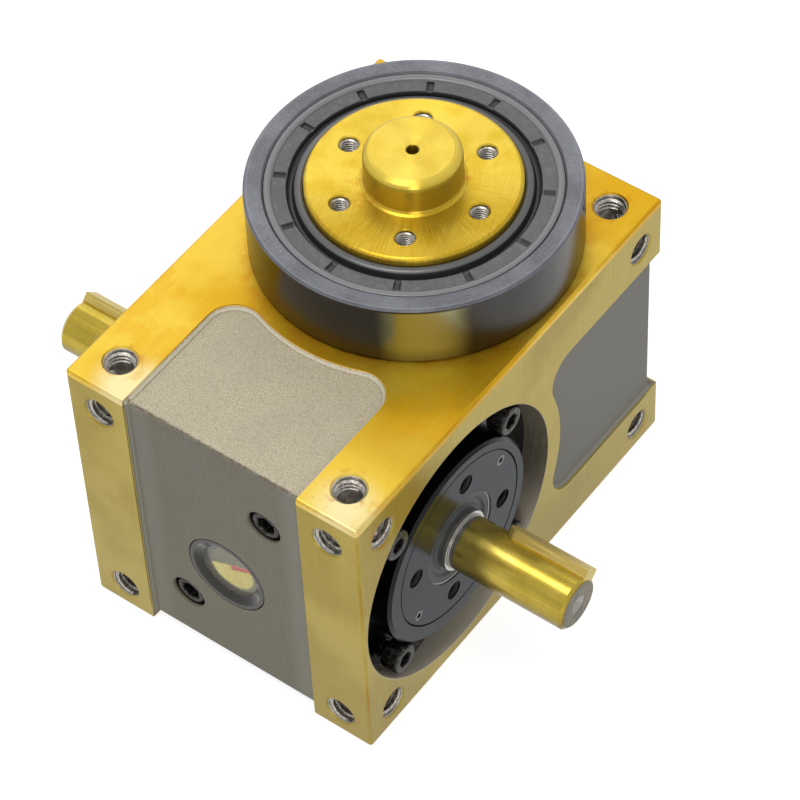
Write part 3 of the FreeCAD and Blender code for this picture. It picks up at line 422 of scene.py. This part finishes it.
def gold_table():
    """Golden film on the turned table, with crossed grinding marks and painted shade on its near
    side.
    """
    f = Finish("gold_film_on_turned_table")
    _, _, radius, rings = lathe_marks(f, OUTPUT_CENTRE, ALONG_Z, 3.2)
    clouds = f.grain(0.12, 4, 0.6)
    film = f.mix(f.ease(clouds, 0.36, 0.62), colour(202, 170, 48), colour(212, 184, 70))
    film = ringed_film(f, film, rings, 0.08)

    angle = f.math("ARCTAN2", f.y, f.x)
    fan = f.grain(1.0, 2, 0.6, (1, 1, 1), f.together(angle * 70, radius * 0.08, 0))
    slanted = f.together(f.x * 0.34 - f.y * 0.94, f.x * 0.94 + f.y * 0.34, 0)
    hatch = f.highest(fan, f.grain(1.0, 2, 0.6, (0.04, 3.4, 1.0), slanted))
    flat = 1 - f.ease(f.z, TABLE_TOP + 0.2, TABLE_TOP + 0.8)
    # painted shade darkening the near side of the table
    near = f.ease(f.y - f.x * 0.8, 6, -22)
    film = f.mix(near * flat * 0.55, film, colour(160, 126, 16))
    dark_lines = f.ease(hatch, 0.52, 0.66) * flat * (0.05 + near * 0.3)
    film = f.mix(dark_lines, film, colour(124, 92, 8))
    pale_lines = f.ease(fan, 0.44, 0.32) * flat * near * 0.3
    film = f.mix(pale_lines, film, colour(222, 192, 70))

    stain = f.ease(f.grain(0.16, 5, 0.7), 0.52, 0.68)
    root = (1 - f.ease(radius, 14, 19)) * flat
    film = f.mix(stain * root * 0.6, film, colour(186, 112, 14))
    # painted light on the boss's crown
    crown = f.ease(f.z, TABLE_TOP + BOSS_HEIGHT - 2, TABLE_TOP + BOSS_HEIGHT - 0.2)
    film = f.mix(crown * 0.25, film, colour(210, 190, 96))
    # painted shade darkening the boss's side
    body = f.ease(f.z, TABLE_TOP + 0.6, TABLE_TOP + 1.2) * (1 - crown)
    film = f.mix(body * 0.7, film, colour(160, 140, 46))
    edge = f.ease(radius, 26.0, 27.2) * stain
    film = f.mix(edge * 0.6, film, colour(178, 112, 30))
    rough = 0.26 + f.grain(0.5, 3, 0.6) * 0.1
    f.surface(Base_Color=film, Metallic=0.92, Roughness=rough, Normal=f.bump(rings, 0.004))
    f.surface(Anisotropic=0.82, Anisotropic_Rotation=0.25)
    return f


def gold_shaft():
    """Golden film on the turned input shaft, with bare steel at its collars and centres."""
    f = Finish("gold_film_on_turned_shaft")
    across, length, radius, rings = lathe_marks(f, SHAFT_CENTRE, ALONG_X, 3.2)
    out = abs(length)
    clouds = f.grain(0.12, 4, 0.6)
    film = f.mix(f.ease(clouds, 0.4, 0.65) * 0.5, colour(172, 150, 56), colour(190, 168, 76))
    film = ringed_film(f, film, rings, 0.12)
    # dark streaks along the shaft: partly film smears, partly painted reflections
    drawn = f.together(length * 0.02, across[0] * 0.8, across[1] * 0.8)
    streak = f.grain(1.0, 4, 0.5, (1, 1, 1), drawn)
    film = f.mix(f.ease(streak, 0.5, 0.7) * 0.25, film, colour(112, 94, 32))
    # painted light: paler film near the shaft's root
    root = f.ease(out, 68, 52)
    film = f.mix(root * 0.7, film, colour(228, 206, 104))
    # painted shade on the underside of the shaft beyond the collar
    past_collar = f.ease(out, COLLAR_END - 1, COLLAR_END)
    under = f.ease(f.z, SHAFT_CENTRE.z + 2.6, SHAFT_CENTRE.z - 3.6) * past_collar
    film = f.mix(under * 0.85, film, colour(86, 72, 22))
    disc = 1 - f.ease(radius, SHAFT_RADIUS - 1.2, SHAFT_RADIUS - 0.6)
    end = f.ease(out, SHAFT_END - 1.4, SHAFT_END - 0.6) * disc
    end_film = f.mix(f.ease(clouds, 0.4, 0.6), colour(58, 50, 32), colour(96, 84, 54))
    film = f.mix(end, film, end_film)
    centre = (1 - f.ease(radius, 2.5, 2.9)) * f.ease(out, SHAFT_END - 10, SHAFT_END - 8)
    film = f.mix(centre, film, BARE_STEEL)
    collar = f.ease(out, COLLAR_END + 0.4, COLLAR_END - 0.2)
    collar_steel = f.mix(f.ease(rings, 0.4, 0.7), BARE_STEEL, colour(206, 204, 198))
    film = f.mix(collar, film, collar_steel)
    rough = 0.17 + f.grain(0.5, 3, 0.6) * 0.1
    f.surface(Base_Color=film, Metallic=0.92, Roughness=rough, Normal=f.bump(rings, 0.004))
    return f


def gold_key():
    """Drawn key steel under a thin golden film, with marks along its length."""
    f = Finish("gold_film_on_drawn_keys")
    drawn = f.grain(1.0, 4, 0.6, (0.08, 2.4, 2.4))
    film = f.mix(f.ease(drawn, 0.35, 0.7), colour(182, 158, 76), colour(214, 194, 120))
    film = f.mix(f.ease(f.grain(0.3, 4, 0.6), 0.55, 0.75) * 0.3, film, colour(214, 198, 140))
    f.surface(Base_Color=film, Metallic=0.8, Roughness=0.36 + drawn * 0.1)
    f.surface(Normal=f.bump(drawn, 0.01))
    return f


def dark_turned(name, tint, light, centre, along, rough, metal, bands=(), painted_reflection_band=False):
    """Blued or oiled turned steel with lathe marks, faint smears and small scratches.

    Each band goes over to another colour between two places along the axis, by a share.
    The last argument paints a reflection: a soft bright strip down the near side of an upright
    part.
    """
    f = Finish(name)
    across, length, radius, rings = lathe_marks(f, centre, along, 2.4)
    smear = f.grain(0.09, 5, 0.6)
    mottle = f.grain(1.4, 3, 0.7)
    steel = f.mix(f.ease(smear, 0.35, 0.7) * 0.3 + f.ease(mottle, 0.4, 0.65) * 0.15, tint, light)
    fleck = f.ease(f.grain(1.1, 2, 0.5), 0.68, 0.74)
    steel = f.mix(fleck * 0.3, steel, scaled(tint, 0.4))
    steel = f.mix(f.ease(rings, 0.45, 0.75) * 0.3, steel, light)
    scratch = f.ease(f.grain(1.0, 3, 0.6, (2.2, 0.12, 0.8)), 0.7, 0.8)
    steel = f.mix(scratch * 0.4, steel, scaled(light, 2.2))
    for start, end, share, other in bands:
        spot = abs(length) if along == ALONG_X else length
        steel = f.mix(f.ease(spot, start, end) * share, steel, other)
    if painted_reflection_band:
        # painted reflection: a soft bright strip of steel down the near side of the ring
        near = (across[0] * 0.636 - across[1] * 0.7717) / radius
        oil = f.ease(near + smear * 0.01, 0.962, 1.008)
        oil = oil * f.ease(length, RING_TOP - 0.8, RING_TOP - 1.4)
        oil = oil * f.ease(length, BODY_TOP + 0.5, BODY_TOP + 6, 0.5)
        steel = f.mix(oil * 0.68, steel, colour(190, 196, 158))
    gloss = rough + f.grain(0.8, 4, 0.6) * 0.05
    f.surface(Base_Color=steel, Metallic=metal, Roughness=gloss, Normal=f.bump(rings, 0.006))
    if along == ALONG_Z:
        f.surface(Anisotropic=0.8, Anisotropic_Rotation=0.25)
    if along == ALONG_X:
        f.surface(Specular_Tint=(0.85, 0.86, 0.88, 1))
    return f


def oiled_steel(name, bands=()):
    """Dark oiled steel of the parts round the input shaft."""
    tint, light = OILED_STEEL, OILED_STEEL_LIGHT
    return dark_turned(name, tint, light, SHAFT_CENTRE, ALONG_X, rough=0.2, metal=0.9, bands=bands)


def ring_steel():
    """Blued ring, with painted shade darkening its side and a painted near-black shadow at its
    foot.
    """
    bands = (
        # painted shade on the side, then a painted shadow at the foot where the ring meets the
        # housing
        (RING_TOP - 0.4, RING_TOP - 0.8, 0.85, colour(52, 49, 44)),
        (BODY_TOP + 1.1, BODY_TOP + 0.5, 0.85, colour(22, 18, 12)),
    )
    tint, light = colour(88, 89, 93), colour(132, 134, 140)
    return dark_turned(
        "blued_ring_steel", tint, light, OUTPUT_CENTRE, ALONG_Z,
        rough=0.2, metal=0.97, bands=bands, painted_reflection_band=True,
    )


def nut_steel():
    """Oiled nut, with painted light at the mouths of its pin holes and painted shade deeper inside
    them.
    """
    bands = (
        # painted light at the hole mouths, then painted shade deeper in the holes
        (NUT_FACE - 0.2, NUT_FACE - 0.7, 0.9, colour(216, 212, 204)),
        (NUT_FACE - 1, NUT_FACE - 2, 0.9, colour(26, 26, 26)),
    )
    return oiled_steel("oiled_nut_steel", bands)


def glass_rim_steel():
    """Polished rim of the sight glass, with painted shade inside it."""
    bands = ((GLASS_FACE + 0.4, GLASS_FACE + 2, 0.75, colour(30, 28, 26)),)
    tint, light = colour(84, 82, 78), colour(112, 110, 105)
    return dark_turned(
        "polished_rim_steel", tint, light, GLASS_AXIS, ALONG_Y,
        rough=0.14, metal=0.8, bands=bands,
    )


def bright_steel(name, red, green, blue):
    f = Finish(name)
    grain = f.grain(1.6, 4, 0.6)
    dull = colour(red * 0.7, green * 0.7, blue * 0.7)
    steel = f.mix(f.ease(grain, 0.35, 0.7), dull, colour(red, green, blue))
    rough = 0.22 + grain * 0.2
    f.surface(Base_Color=steel, Metallic=0.95, Roughness=rough, Normal=f.bump(grain, 0.01))
    return f


def rubber(name, tint, light, parts=None):
    """Dusty rubber. The parts add their own colours and smoothness to the skin."""
    f = Finish(name)
    dust = f.grain(0.5, 5, 0.7)
    skin = f.mix(f.ease(dust, 0.42, 0.75), tint, light)
    speck = 1 - f.ease(f.specks(0.6), 0.05, 0.16)
    skin = f.mix(speck * 0.35, skin, scaled(light, 2.5))
    rough = 0.42 + dust * 0.2
    if parts:
        skin, rough = parts(f, skin)
    f.surface(Base_Color=skin, Roughness=rough, Normal=f.bump(f.grain(2.5, 3, 0.6), 0.02))
    f.surface(Specular_IOR_Level=0.6)
    return f


def output_seal_parts(f, skin):
    """Grey band and bright rim of the output seal, with painted black shade in its gap and
    notches.
    """
    radius = f.far(f.x, f.y)
    inside = f.ease(radius, 29.2, 29.9)
    gap = (1 - f.ease(radius, 31.5, 32.0)) * inside
    skin = f.mix(gap, skin, PAINTED_SHADE_BLACK)
    floor = f.ease(f.z, SEAL_TOP - 0.65, SEAL_TOP - 0.8)
    notch = f.ease(radius, 32.0, 32.3) * f.ease(radius, 35.4, 35.1) * floor
    skin = f.mix(notch, skin, PAINTED_SHADE_BLACK)
    lip = 1 - inside
    skin = f.mix(lip, skin, colour(84, 84, 84))
    rim = f.ease(radius, 35.5, 35.8)
    skin = f.mix(rim, skin, colour(120, 120, 122))
    return skin, 0.5 - rim * 0.2 - lip * 0.25


def black_oxide():
    f = Finish("black_oxide")
    wear = f.grain(0.9, 5, 0.65)
    skin = f.mix(f.ease(wear, 0.45, 0.75), colour(32, 31, 29), colour(104, 100, 94))
    rough = 0.3 + wear * 0.2
    f.surface(Base_Color=skin, Metallic=0.7, Roughness=rough, Normal=f.bump(wear, 0.02))
    return f


def clear_glass():
    f = Finish("clear_glass")
    haze = f.grain(0.5, 3, 0.5)
    tint = f.mix(haze, colour(246, 250, 246), colour(236, 242, 236))
    f.surface(Base_Color=tint, Roughness=0.02 + haze * 0.05)
    f.surface(Transmission_Weight=1.0, IOR=1.25, Specular_IOR_Level=0.25)
    return f


def oil_eye():
    """The pale plate behind the sight glass, with its red level mark and a grey oil line."""
    f = Finish("oil_eye_plate")
    clouds = f.grain(0.35, 4, 0.6)
    plate = f.mix(f.ease(clouds, 0.4, 0.7), colour(222, 194, 84), colour(236, 212, 116))
    rise = f.z - GLASS_AXIS.z
    level = rise - f.x * 0.45 + clouds * 1.6
    grey = f.ease(level, 2.0, 2.6)
    plate = f.mix(grey * 0.92, plate, colour(82, 72, 56))
    mark = f.ease(abs(level - 1.4), 1.1, 0.7) * f.ease(f.x, -0.8, 0.2)
    plate = f.mix(mark, plate, colour(200, 28, 4))
    # painted shade round the edge of the window
    shade = f.ease(f.far(f.x, rise), 6.3, 7.2)
    plate = f.mix(shade * 0.85, plate, colour(44, 38, 28))
    f.surface(Base_Color=plate, Roughness=0.45 + clouds * 0.1)
    return f


finishes = {
    "coated_casting": gold_on_iron(),
    "gold_table": gold_table(),
    "gold_shaft": gold_shaft(),
    "gold_key": gold_key(),
    "dark_ring": ring_steel(),
    "dark_hub": oiled_steel("oiled_hub_steel"),
    "nut_steel": nut_steel(),
    "lock_steel": bright_steel("lock_screw_steel", 120, 118, 112),
    "thread_steel": bright_steel("cut_thread_steel", 196, 190, 180),
    "bearing_steel": bright_steel("ground_bearing_steel", 168, 168, 170),
    "glass_rim": glass_rim_steel(),
    "black_oxide": black_oxide(),
    "seal_rubber": rubber(
        "moulded_seal_rubber", colour(84, 84, 86), colour(104, 104, 106), output_seal_parts
    ),
    "shaft_seal": rubber("black_seal_rubber", colour(40, 42, 44), colour(66, 70, 72)),
    "clear_glass": clear_glass(),
    "pale_reflector": oil_eye(),
}

# the first ending that fits a node's name gives its finish; all others are bearing steel
FINISH_OF_ENDING = (
    ("housing", "coated_casting"),
    ("output_shaft", "gold_table"),
    ("camshaft", "gold_shaft"),
    ("_key", "gold_key"),
    ("output_bearing_ring", "dark_ring"),
    ("bottom_cover", "dark_ring"),
    ("_sleeve", "dark_hub"),
    ("_nut", "nut_steel"),
    ("_lock_screws", "lock_steel"),
    ("output_oil_seal", "seal_rubber"),
    ("_seal", "shaft_seal"),
    ("_oring", "shaft_seal"),
    ("screws", "black_oxide"),
    ("plug", "black_oxide"),
    ("sight_glass_body", "glass_rim"),
    ("sight_glass_lens", "clear_glass"),
    ("sight_glass_reflector", "pale_reflector"),
)


def finish_of(node):
    for ending, finish in FINISH_OF_ENDING:
        if node.endswith(ending):
            return finish
    return "bearing_steel"


def dress(thing, finish):
    thing.data.materials.clear()
    thing.data.materials.append(finishes[finish].material)


for node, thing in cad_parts.items():
    dress(thing, finish_of(node))


# detailed pieces
def facing(direction):
    """Rotation that turns the Z axis to the given direction."""
    return Vector((0, 0, 1)).rotation_difference(Vector(direction)).to_matrix().to_4x4()


def placed(shape, at, direction):
    points, faces = shape
    turn = Matrix.Translation(Vector(at)) @ facing(direction)
    return [turn @ Vector(point) for point in points], faces


def make_piece(name, shapes, body, finish, stands_for=()):
    """Joins shapes, each with its points in millimetres and its faces, into one piece."""
    points, faces = [], []
    for shape_points, shape_faces in shapes:
        start = len(points)
        points += [Vector(point) * MM for point in shape_points]
        faces += [[start + index for index in face] for face in shape_faces]
    mesh = bpy.data.meshes.new(name)
    mesh.from_pydata(points, [], faces)
    mesh.validate()
    shape = bmesh.new()
    shape.from_mesh(mesh)
    bmesh.ops.recalc_face_normals(shape, faces=shape.faces)
    shape.to_mesh(mesh)
    shape.free()
    for polygon in mesh.polygons:
        polygon.use_smooth = True
    mesh.set_sharp_from_angle(angle=SHARP_ANGLE)
    piece = bpy.data.objects.new(name, mesh)
    bpy.context.scene.collection.objects.link(piece)
    dress(piece, finish)
    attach(piece, body)
    if stands_for:
        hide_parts(*stands_for)
    return piece


def turned_shape(column, segments):
    """Closed skin turned about Z, from one column of (radius, height) corners at each angle."""
    points, faces = [], []
    for step in range(segments):
        angle = TURN * step / segments
        corners = column(angle)
        points += [(r * math.cos(angle), r * math.sin(angle), h) for r, h in corners]
    count = len(corners)
    for step in range(segments):
        here, there = step * count, (step + 1) % segments * count
        for index in range(count):
            after = (index + 1) % count
            faces.append((here + index, there + index, there + after, here + after))
    return points, faces


# section of one turn of a thread: shares of the pitch, and of the depth
THREAD_SIDE = ((0.0, 0.0), (0.12, 0.0), (0.44, 1.0), (0.58, 1.0), (0.88, 0.0))
THREAD_DEPTH = 0.54


def cut_thread(radius, wall, pitch, start, length, segments=44):
    """Closed sleeve with a helical thread.

    The thread's roots lie at the radius and its crests stand away from the wall,
    inwards when the wall is the larger radius, outwards when it is the smaller.
    """
    depth = pitch * THREAD_DEPTH * (-1 if wall > radius else 1)
    turns = max(1, int(length / pitch) - 1)
    total = segments * turns
    rows = len(THREAD_SIDE)
    points, faces = [], []

    def ring_point(step, along, out):
        angle = TURN * step / segments
        height = start + pitch * (step / segments + along)
        return out * math.cos(angle), out * math.sin(angle), height

    for step in range(total + segments + 1):
        grown = min(1, step / segments * 2, (total + segments - step) / segments * 2)
        for along, rise in THREAD_SIDE:
            points.append(ring_point(step, along, radius + depth * rise * grown))
        points.append(ring_point(step, 0, wall))

    def spot(step, row):
        return step * (rows + 1) + row

    for step in range(total):
        for row in range(rows):
            up = spot(step, row + 1) if row + 1 < rows else spot(step + segments, 0)
            far = spot(step + 1, row + 1) if row + 1 < rows else spot(step + 1 + segments, 0)
            faces.append((spot(step, row), up, far, spot(step + 1, row)))
        around = (spot(step, rows), spot(step + 1, rows))
        above = (spot(step + 1 + segments, rows), spot(step + segments, rows))
        faces.append(around + above)
    for step in range(segments):
        faces.append((spot(step, 0), spot(step + 1, 0), spot(step + 1, rows), spot(step, rows)))
        last = total + step
        faces.append((spot(last, 0), spot(last, rows), spot(last + 1, rows), spot(last + 1, 0)))
    for step, turn in ((0, 1), (total, -1)):
        edge = [spot(step, row) for row in range(rows)]
        edge += [spot(step + segments, 0), spot(step + segments, rows), spot(step, rows)]
        faces.append(edge[::-turn])
    used = sorted({index for face in faces for index in face})
    renumber = {index: place for place, index in enumerate(used)}
    return [points[index] for index in used], [[renumber[i] for i in face] for face in faces]


# mounting threads: for each face the direction of its holes, the length of their threads,
# and whether its holes stand further out because the face is hidden
HOUSING_FACES = (
    ("top", (0, 0, -1), 6.0, False),
    ("base", (0, 0, 1), 3.2, True),
    ("input_end", (0, 1, 0), 5.2, False),
    ("output_end", (0, -1, 0), 4.7, True),
    ("front_side", (-1, 0, 0), 4.7, False),
    ("rear_side", (1, 0, 0), 3.7, True),
)


def hole_mouths(direction, hidden):
    """Centres of the four tapped holes that are drilled in the given direction."""
    inward = Vector(direction)
    along = [abs(part) > 0.5 for part in inward].index(True)
    across, upward = [axis for axis in range(3) if axis != along]
    shift = HIDDEN_SHIFT if hidden else 0.0
    mouths = []
    for first in (-1, 1):
        for second in (-1, 1):
            spot = Vector(HOLE_MIDDLE)
            spot[across] += first * (HOLE_REACH[across] + shift)
            spot[upward] += second * HOLE_REACH[upward]
            spot[along] = BODY_MIDDLE[along] - inward[along] * BODY_REACH[along]
            mouths.append(spot)
    return mouths


for face_name, direction, length, hidden in HOUSING_FACES:
    lining = cut_thread(
        THREAD_RADIUS - 0.03, THREAD_RADIUS - 0.01, THREAD_PITCH, THREAD_START - 0.4, length
    )
    make_piece(
        "mount_threads_" + face_name,
        [placed(lining, mouth, direction) for mouth in hole_mouths(direction, hidden)],
        "housing",
        "thread_steel",
    )

table_lining = cut_thread(radius=2.48, wall=2.49, pitch=0.8, start=0.2, length=7.4, segments=28)
table_mouths = []
for number in range(TABLE_THREADS):
    turn = TURN * number / TABLE_THREADS
    x, y = TABLE_THREAD_CIRCLE * math.cos(turn), TABLE_THREAD_CIRCLE * math.sin(turn)
    table_mouths.append((x, y, TABLE_TOP))
make_piece(
    "table_threads",
    [placed(table_lining, mouth, (0, 0, -1)) for mouth in table_mouths],
    "output_table",
    "thread_steel",
)


def hexagon_radius(angle, flats):
    """Radius of a hexagon of the given width across flats at an angle."""
    turn = (angle + math.pi / 6) % (math.pi / 3) - math.pi / 6
    return flats / 2 / math.cos(turn)


def screw_head(head, head_height, socket, knurls=36, knurl_depth=0.16):
    """Knurled socket head, from its face at height 0 down to its seat; Z runs into the hole."""
    edge = head / 2

    def column(angle):
        ridge = 0.5 + 0.5 * math.cos(angle * knurls)
        side = edge - knurl_depth * (1 - ridge) ** 1.5
        hexagon = hexagon_radius(angle, socket)
        return [
            (0.01, head_height * 0.5),
            (hexagon * 0.55, head_height * 0.5),
            (hexagon, head_height * 0.45),
            (hexagon, 0.3),
            (hexagon + 0.25, 0.02),
            (edge - 0.75, 0.0),
            (edge - 0.45, 0.06),
            (edge - 0.2, 0.3),
            (side, 0.75),
            (side, head_height - 0.5),
            (edge - 0.3, head_height - 0.05),
            (edge - 0.7, head_height),
            (0.01, head_height),
        ]

    return turned_shape(column, knurls * 4)


for end, side in (("front", 1), ("rear", -1)):
    head = screw_head(head=8.5, head_height=5.0, socket=4.0)
    shank = cut_thread(radius=2.05, wall=0.05, pitch=0.8, start=4.9, length=13.0, segments=28)
    shapes = []
    for angle in (45, 135, 225, 315):
        turn = math.radians(angle)
        y = BORE_CENTRE.y + CLAMP_CIRCLE * math.cos(turn)
        z = BORE_CENTRE.z + CLAMP_CIRCLE * math.sin(turn)
        at = (CLAMP_FACE * side, y, z)
        shapes += [placed(shape, at, (-side, 0, 0)) for shape in (head, shank)]
    make_piece(
        end + "_clamp_screws_knurled",
        shapes,
        "housing",
        "black_oxide",
        (end + "_clamp_screws",),
    )


def plug_shape(radius=4.98, length=8.0, socket=5.0):
    """Oil plug with a hexagon socket, from its face at height 0; Z runs into the hole."""
    def column(angle):
        hexagon = hexagon_radius(angle, socket)
        return [
            (0.01, 4.0),
            (hexagon * 0.5, 4.0),
            (hexagon, 3.6),
            (hexagon, 0.35),
            (hexagon + 0.25, 0.0),
            (radius - 1.3, 0.0),
            (radius - 1.0, 0.1),
            (radius - 0.75, 0.4),
            (radius - 0.7, 0.8),
            (radius, 1.2),
            (radius, length - 0.6),
            (radius - 0.7, length),
            (0.01, length),
        ]

    return turned_shape(column, 72)


for name, x, z in (("oil_fill_plug", 14, 67), ("oil_drain_plug", -14, 19)):
    make_piece(
        name + "_threaded",
        [placed(plug_shape(), (x, PLUG_FACE, z), (0, 1, 0))],
        "housing",
        "black_oxide",
        (name,),
    )


def moulded_seal(notches=12, half_width=0.75, depth=0.55, edge=0.16, phase=0.53):
    """Output seal: a flat band crossed by notches, then a dark gap and a lip at the table."""
    top = SEAL_TOP
    band_radius = 33.5

    def column(angle):
        turn = (angle / TURN * notches + phase) % 1
        off = abs(turn - 0.5) * TURN / notches * band_radius
        sunk = depth * (1 - min(1, max(0, (off - half_width) / edge)))
        return [
            (37.48, 99.75),
            (37.48, top - 0.5),
            (37.3, top - 0.12),
            (37.0, top),
            (36.1, top - 0.02),
            (35.7, top - 0.2),
            (35.35, top - 0.5),
            (35.2, top - 0.52),
            (35.1, top - 0.53 - sunk),
            (32.0, top - 0.56 - sunk),
            (31.85, top - 0.6 - sunk),
            (31.7, top - 0.9),
            (31.4, top - 2.0),
            (31.0, top - 2.25),
            (30.4, top - 2.2),
            (30.0, top - 1.6),
            (29.75, top - 0.6),
            (29.4, top - 0.3),
            (28.9, top - 0.16),
            (28.2, top - 0.1),
            (27.75, top - 0.35),
            (27.58, top - 0.9),
            (27.6, top - 1.6),
            (28.6, 102.0),
            (29.1, 99.75),
        ]

    return turned_shape(column, 720)


make_piece(
    "output_seal_moulded",
    [moulded_seal()],
    "housing",
    "seal_rubber",
    ("output_oil_seal",),
)

# camera at the photograph's viewing angle, in metres
CAMERA_AT = Vector((0.38512, -0.49054, 0.78132))
CAMERA_RIGHT = Vector((0.80557, 0.59147, -0.03497))
CAMERA_UP = Vector((-0.43942, 0.63599, 0.63437))

camera_data = bpy.data.cameras.new("camera")
camera_data.sensor_width = 36.0
camera_data.lens = 166.85
camera_data.clip_start = 0.01
camera_data.clip_end = 20.0
camera = bpy.data.objects.new("camera", camera_data)
back = CAMERA_RIGHT.cross(CAMERA_UP)
turned = Matrix((CAMERA_RIGHT, CAMERA_UP, back)).transposed().to_4x4()
camera.matrix_world = Matrix.Translation(CAMERA_AT) @ turned
bpy.context.scene.collection.objects.link(camera)
bpy.context.scene.camera = camera

bpy.context.scene.view_settings.view_transform = "Standard"


# floor, world and lamps; lengths are in metres
FLOOR_REACH = 3.0
FLOOR_HEIGHT = -0.0003
FLOOR_GLOW = 0.8
STUDIO_LIGHT = 0.46
AIM = Vector((0, -0.02, 0.05))


def seen_directly(nodes):
    """Is 1 for rays that see the plain white background, and 0 for light on the object."""
    rays = ("Is Camera Ray", "Is Glossy Ray", "Is Transmission Ray")
    path = nodes.node("ShaderNodeLightPath").socket.node
    return nodes.highest(*[Value(nodes, path.outputs[ray]) for ray in rays])


def white_floor():
    """Plain grey for the light on the object, and white where it is seen."""
    material = bpy.data.materials.new("floor")
    material.use_nodes = True
    material.node_tree.nodes.clear()
    nodes = Nodes(material.node_tree)
    matt = nodes.node("ShaderNodeBsdfDiffuse", None, {"Color": (0.5, 0.5, 0.5)})
    shine = {"Color": (1, 1, 1), "Strength": seen_directly(nodes) * FLOOR_GLOW}
    glow = nodes.node("ShaderNodeEmission", None, shine)
    both = nodes.node("ShaderNodeAddShader", None, {0: matt, 1: glow})
    nodes.node("ShaderNodeOutputMaterial", None, {"Surface": both})
    return material


floor_mesh = bpy.data.meshes.new("floor")
corners = [(x * FLOOR_REACH, y * FLOOR_REACH, 0) for x, y in ((-1, -1), (1, -1), (1, 1), (-1, 1))]
floor_mesh.from_pydata(corners, [], [(0, 1, 2, 3)])
floor_mesh.materials.append(white_floor())
floor = bpy.data.objects.new("floor", floor_mesh)
floor.location.z = FLOOR_HEIGHT
bpy.context.scene.collection.objects.link(floor)

world = bpy.data.worlds.new("studio")
world.use_nodes = True
bpy.context.scene.world = world
studio = Nodes(world.node_tree)
background = studio.tree.nodes["Background"]
studio.feed(background.inputs["Color"], (1, 1, 1))
brightness = seen_directly(studio) * (1 - STUDIO_LIGHT) + STUDIO_LIGHT
studio.feed(background.inputs["Strength"], brightness)


def lamp(name, at, watts, width, height):
    """A soft box that looks at the object."""
    data = bpy.data.lights.new(name, "AREA")
    data.shape = "RECTANGLE"
    data.size = width
    data.size_y = height
    data.energy = watts
    made = bpy.data.objects.new(name, data)
    made.location = at
    made.rotation_mode = "QUATERNION"
    made.rotation_quaternion = (AIM - Vector(at)).to_track_quat("-Z", "Y")
    bpy.context.scene.collection.objects.link(made)


lamp("overhead", (-0.15, -0.25, 1.5), watts=9, width=0.7, height=0.7)
lamp("window", (-0.85, 0.8, 1.0), watts=2, width=0.8, height=0.8)
lamp("fill", (0.85, -1.08, 0.45), watts=3, width=0.4, height=0.5)
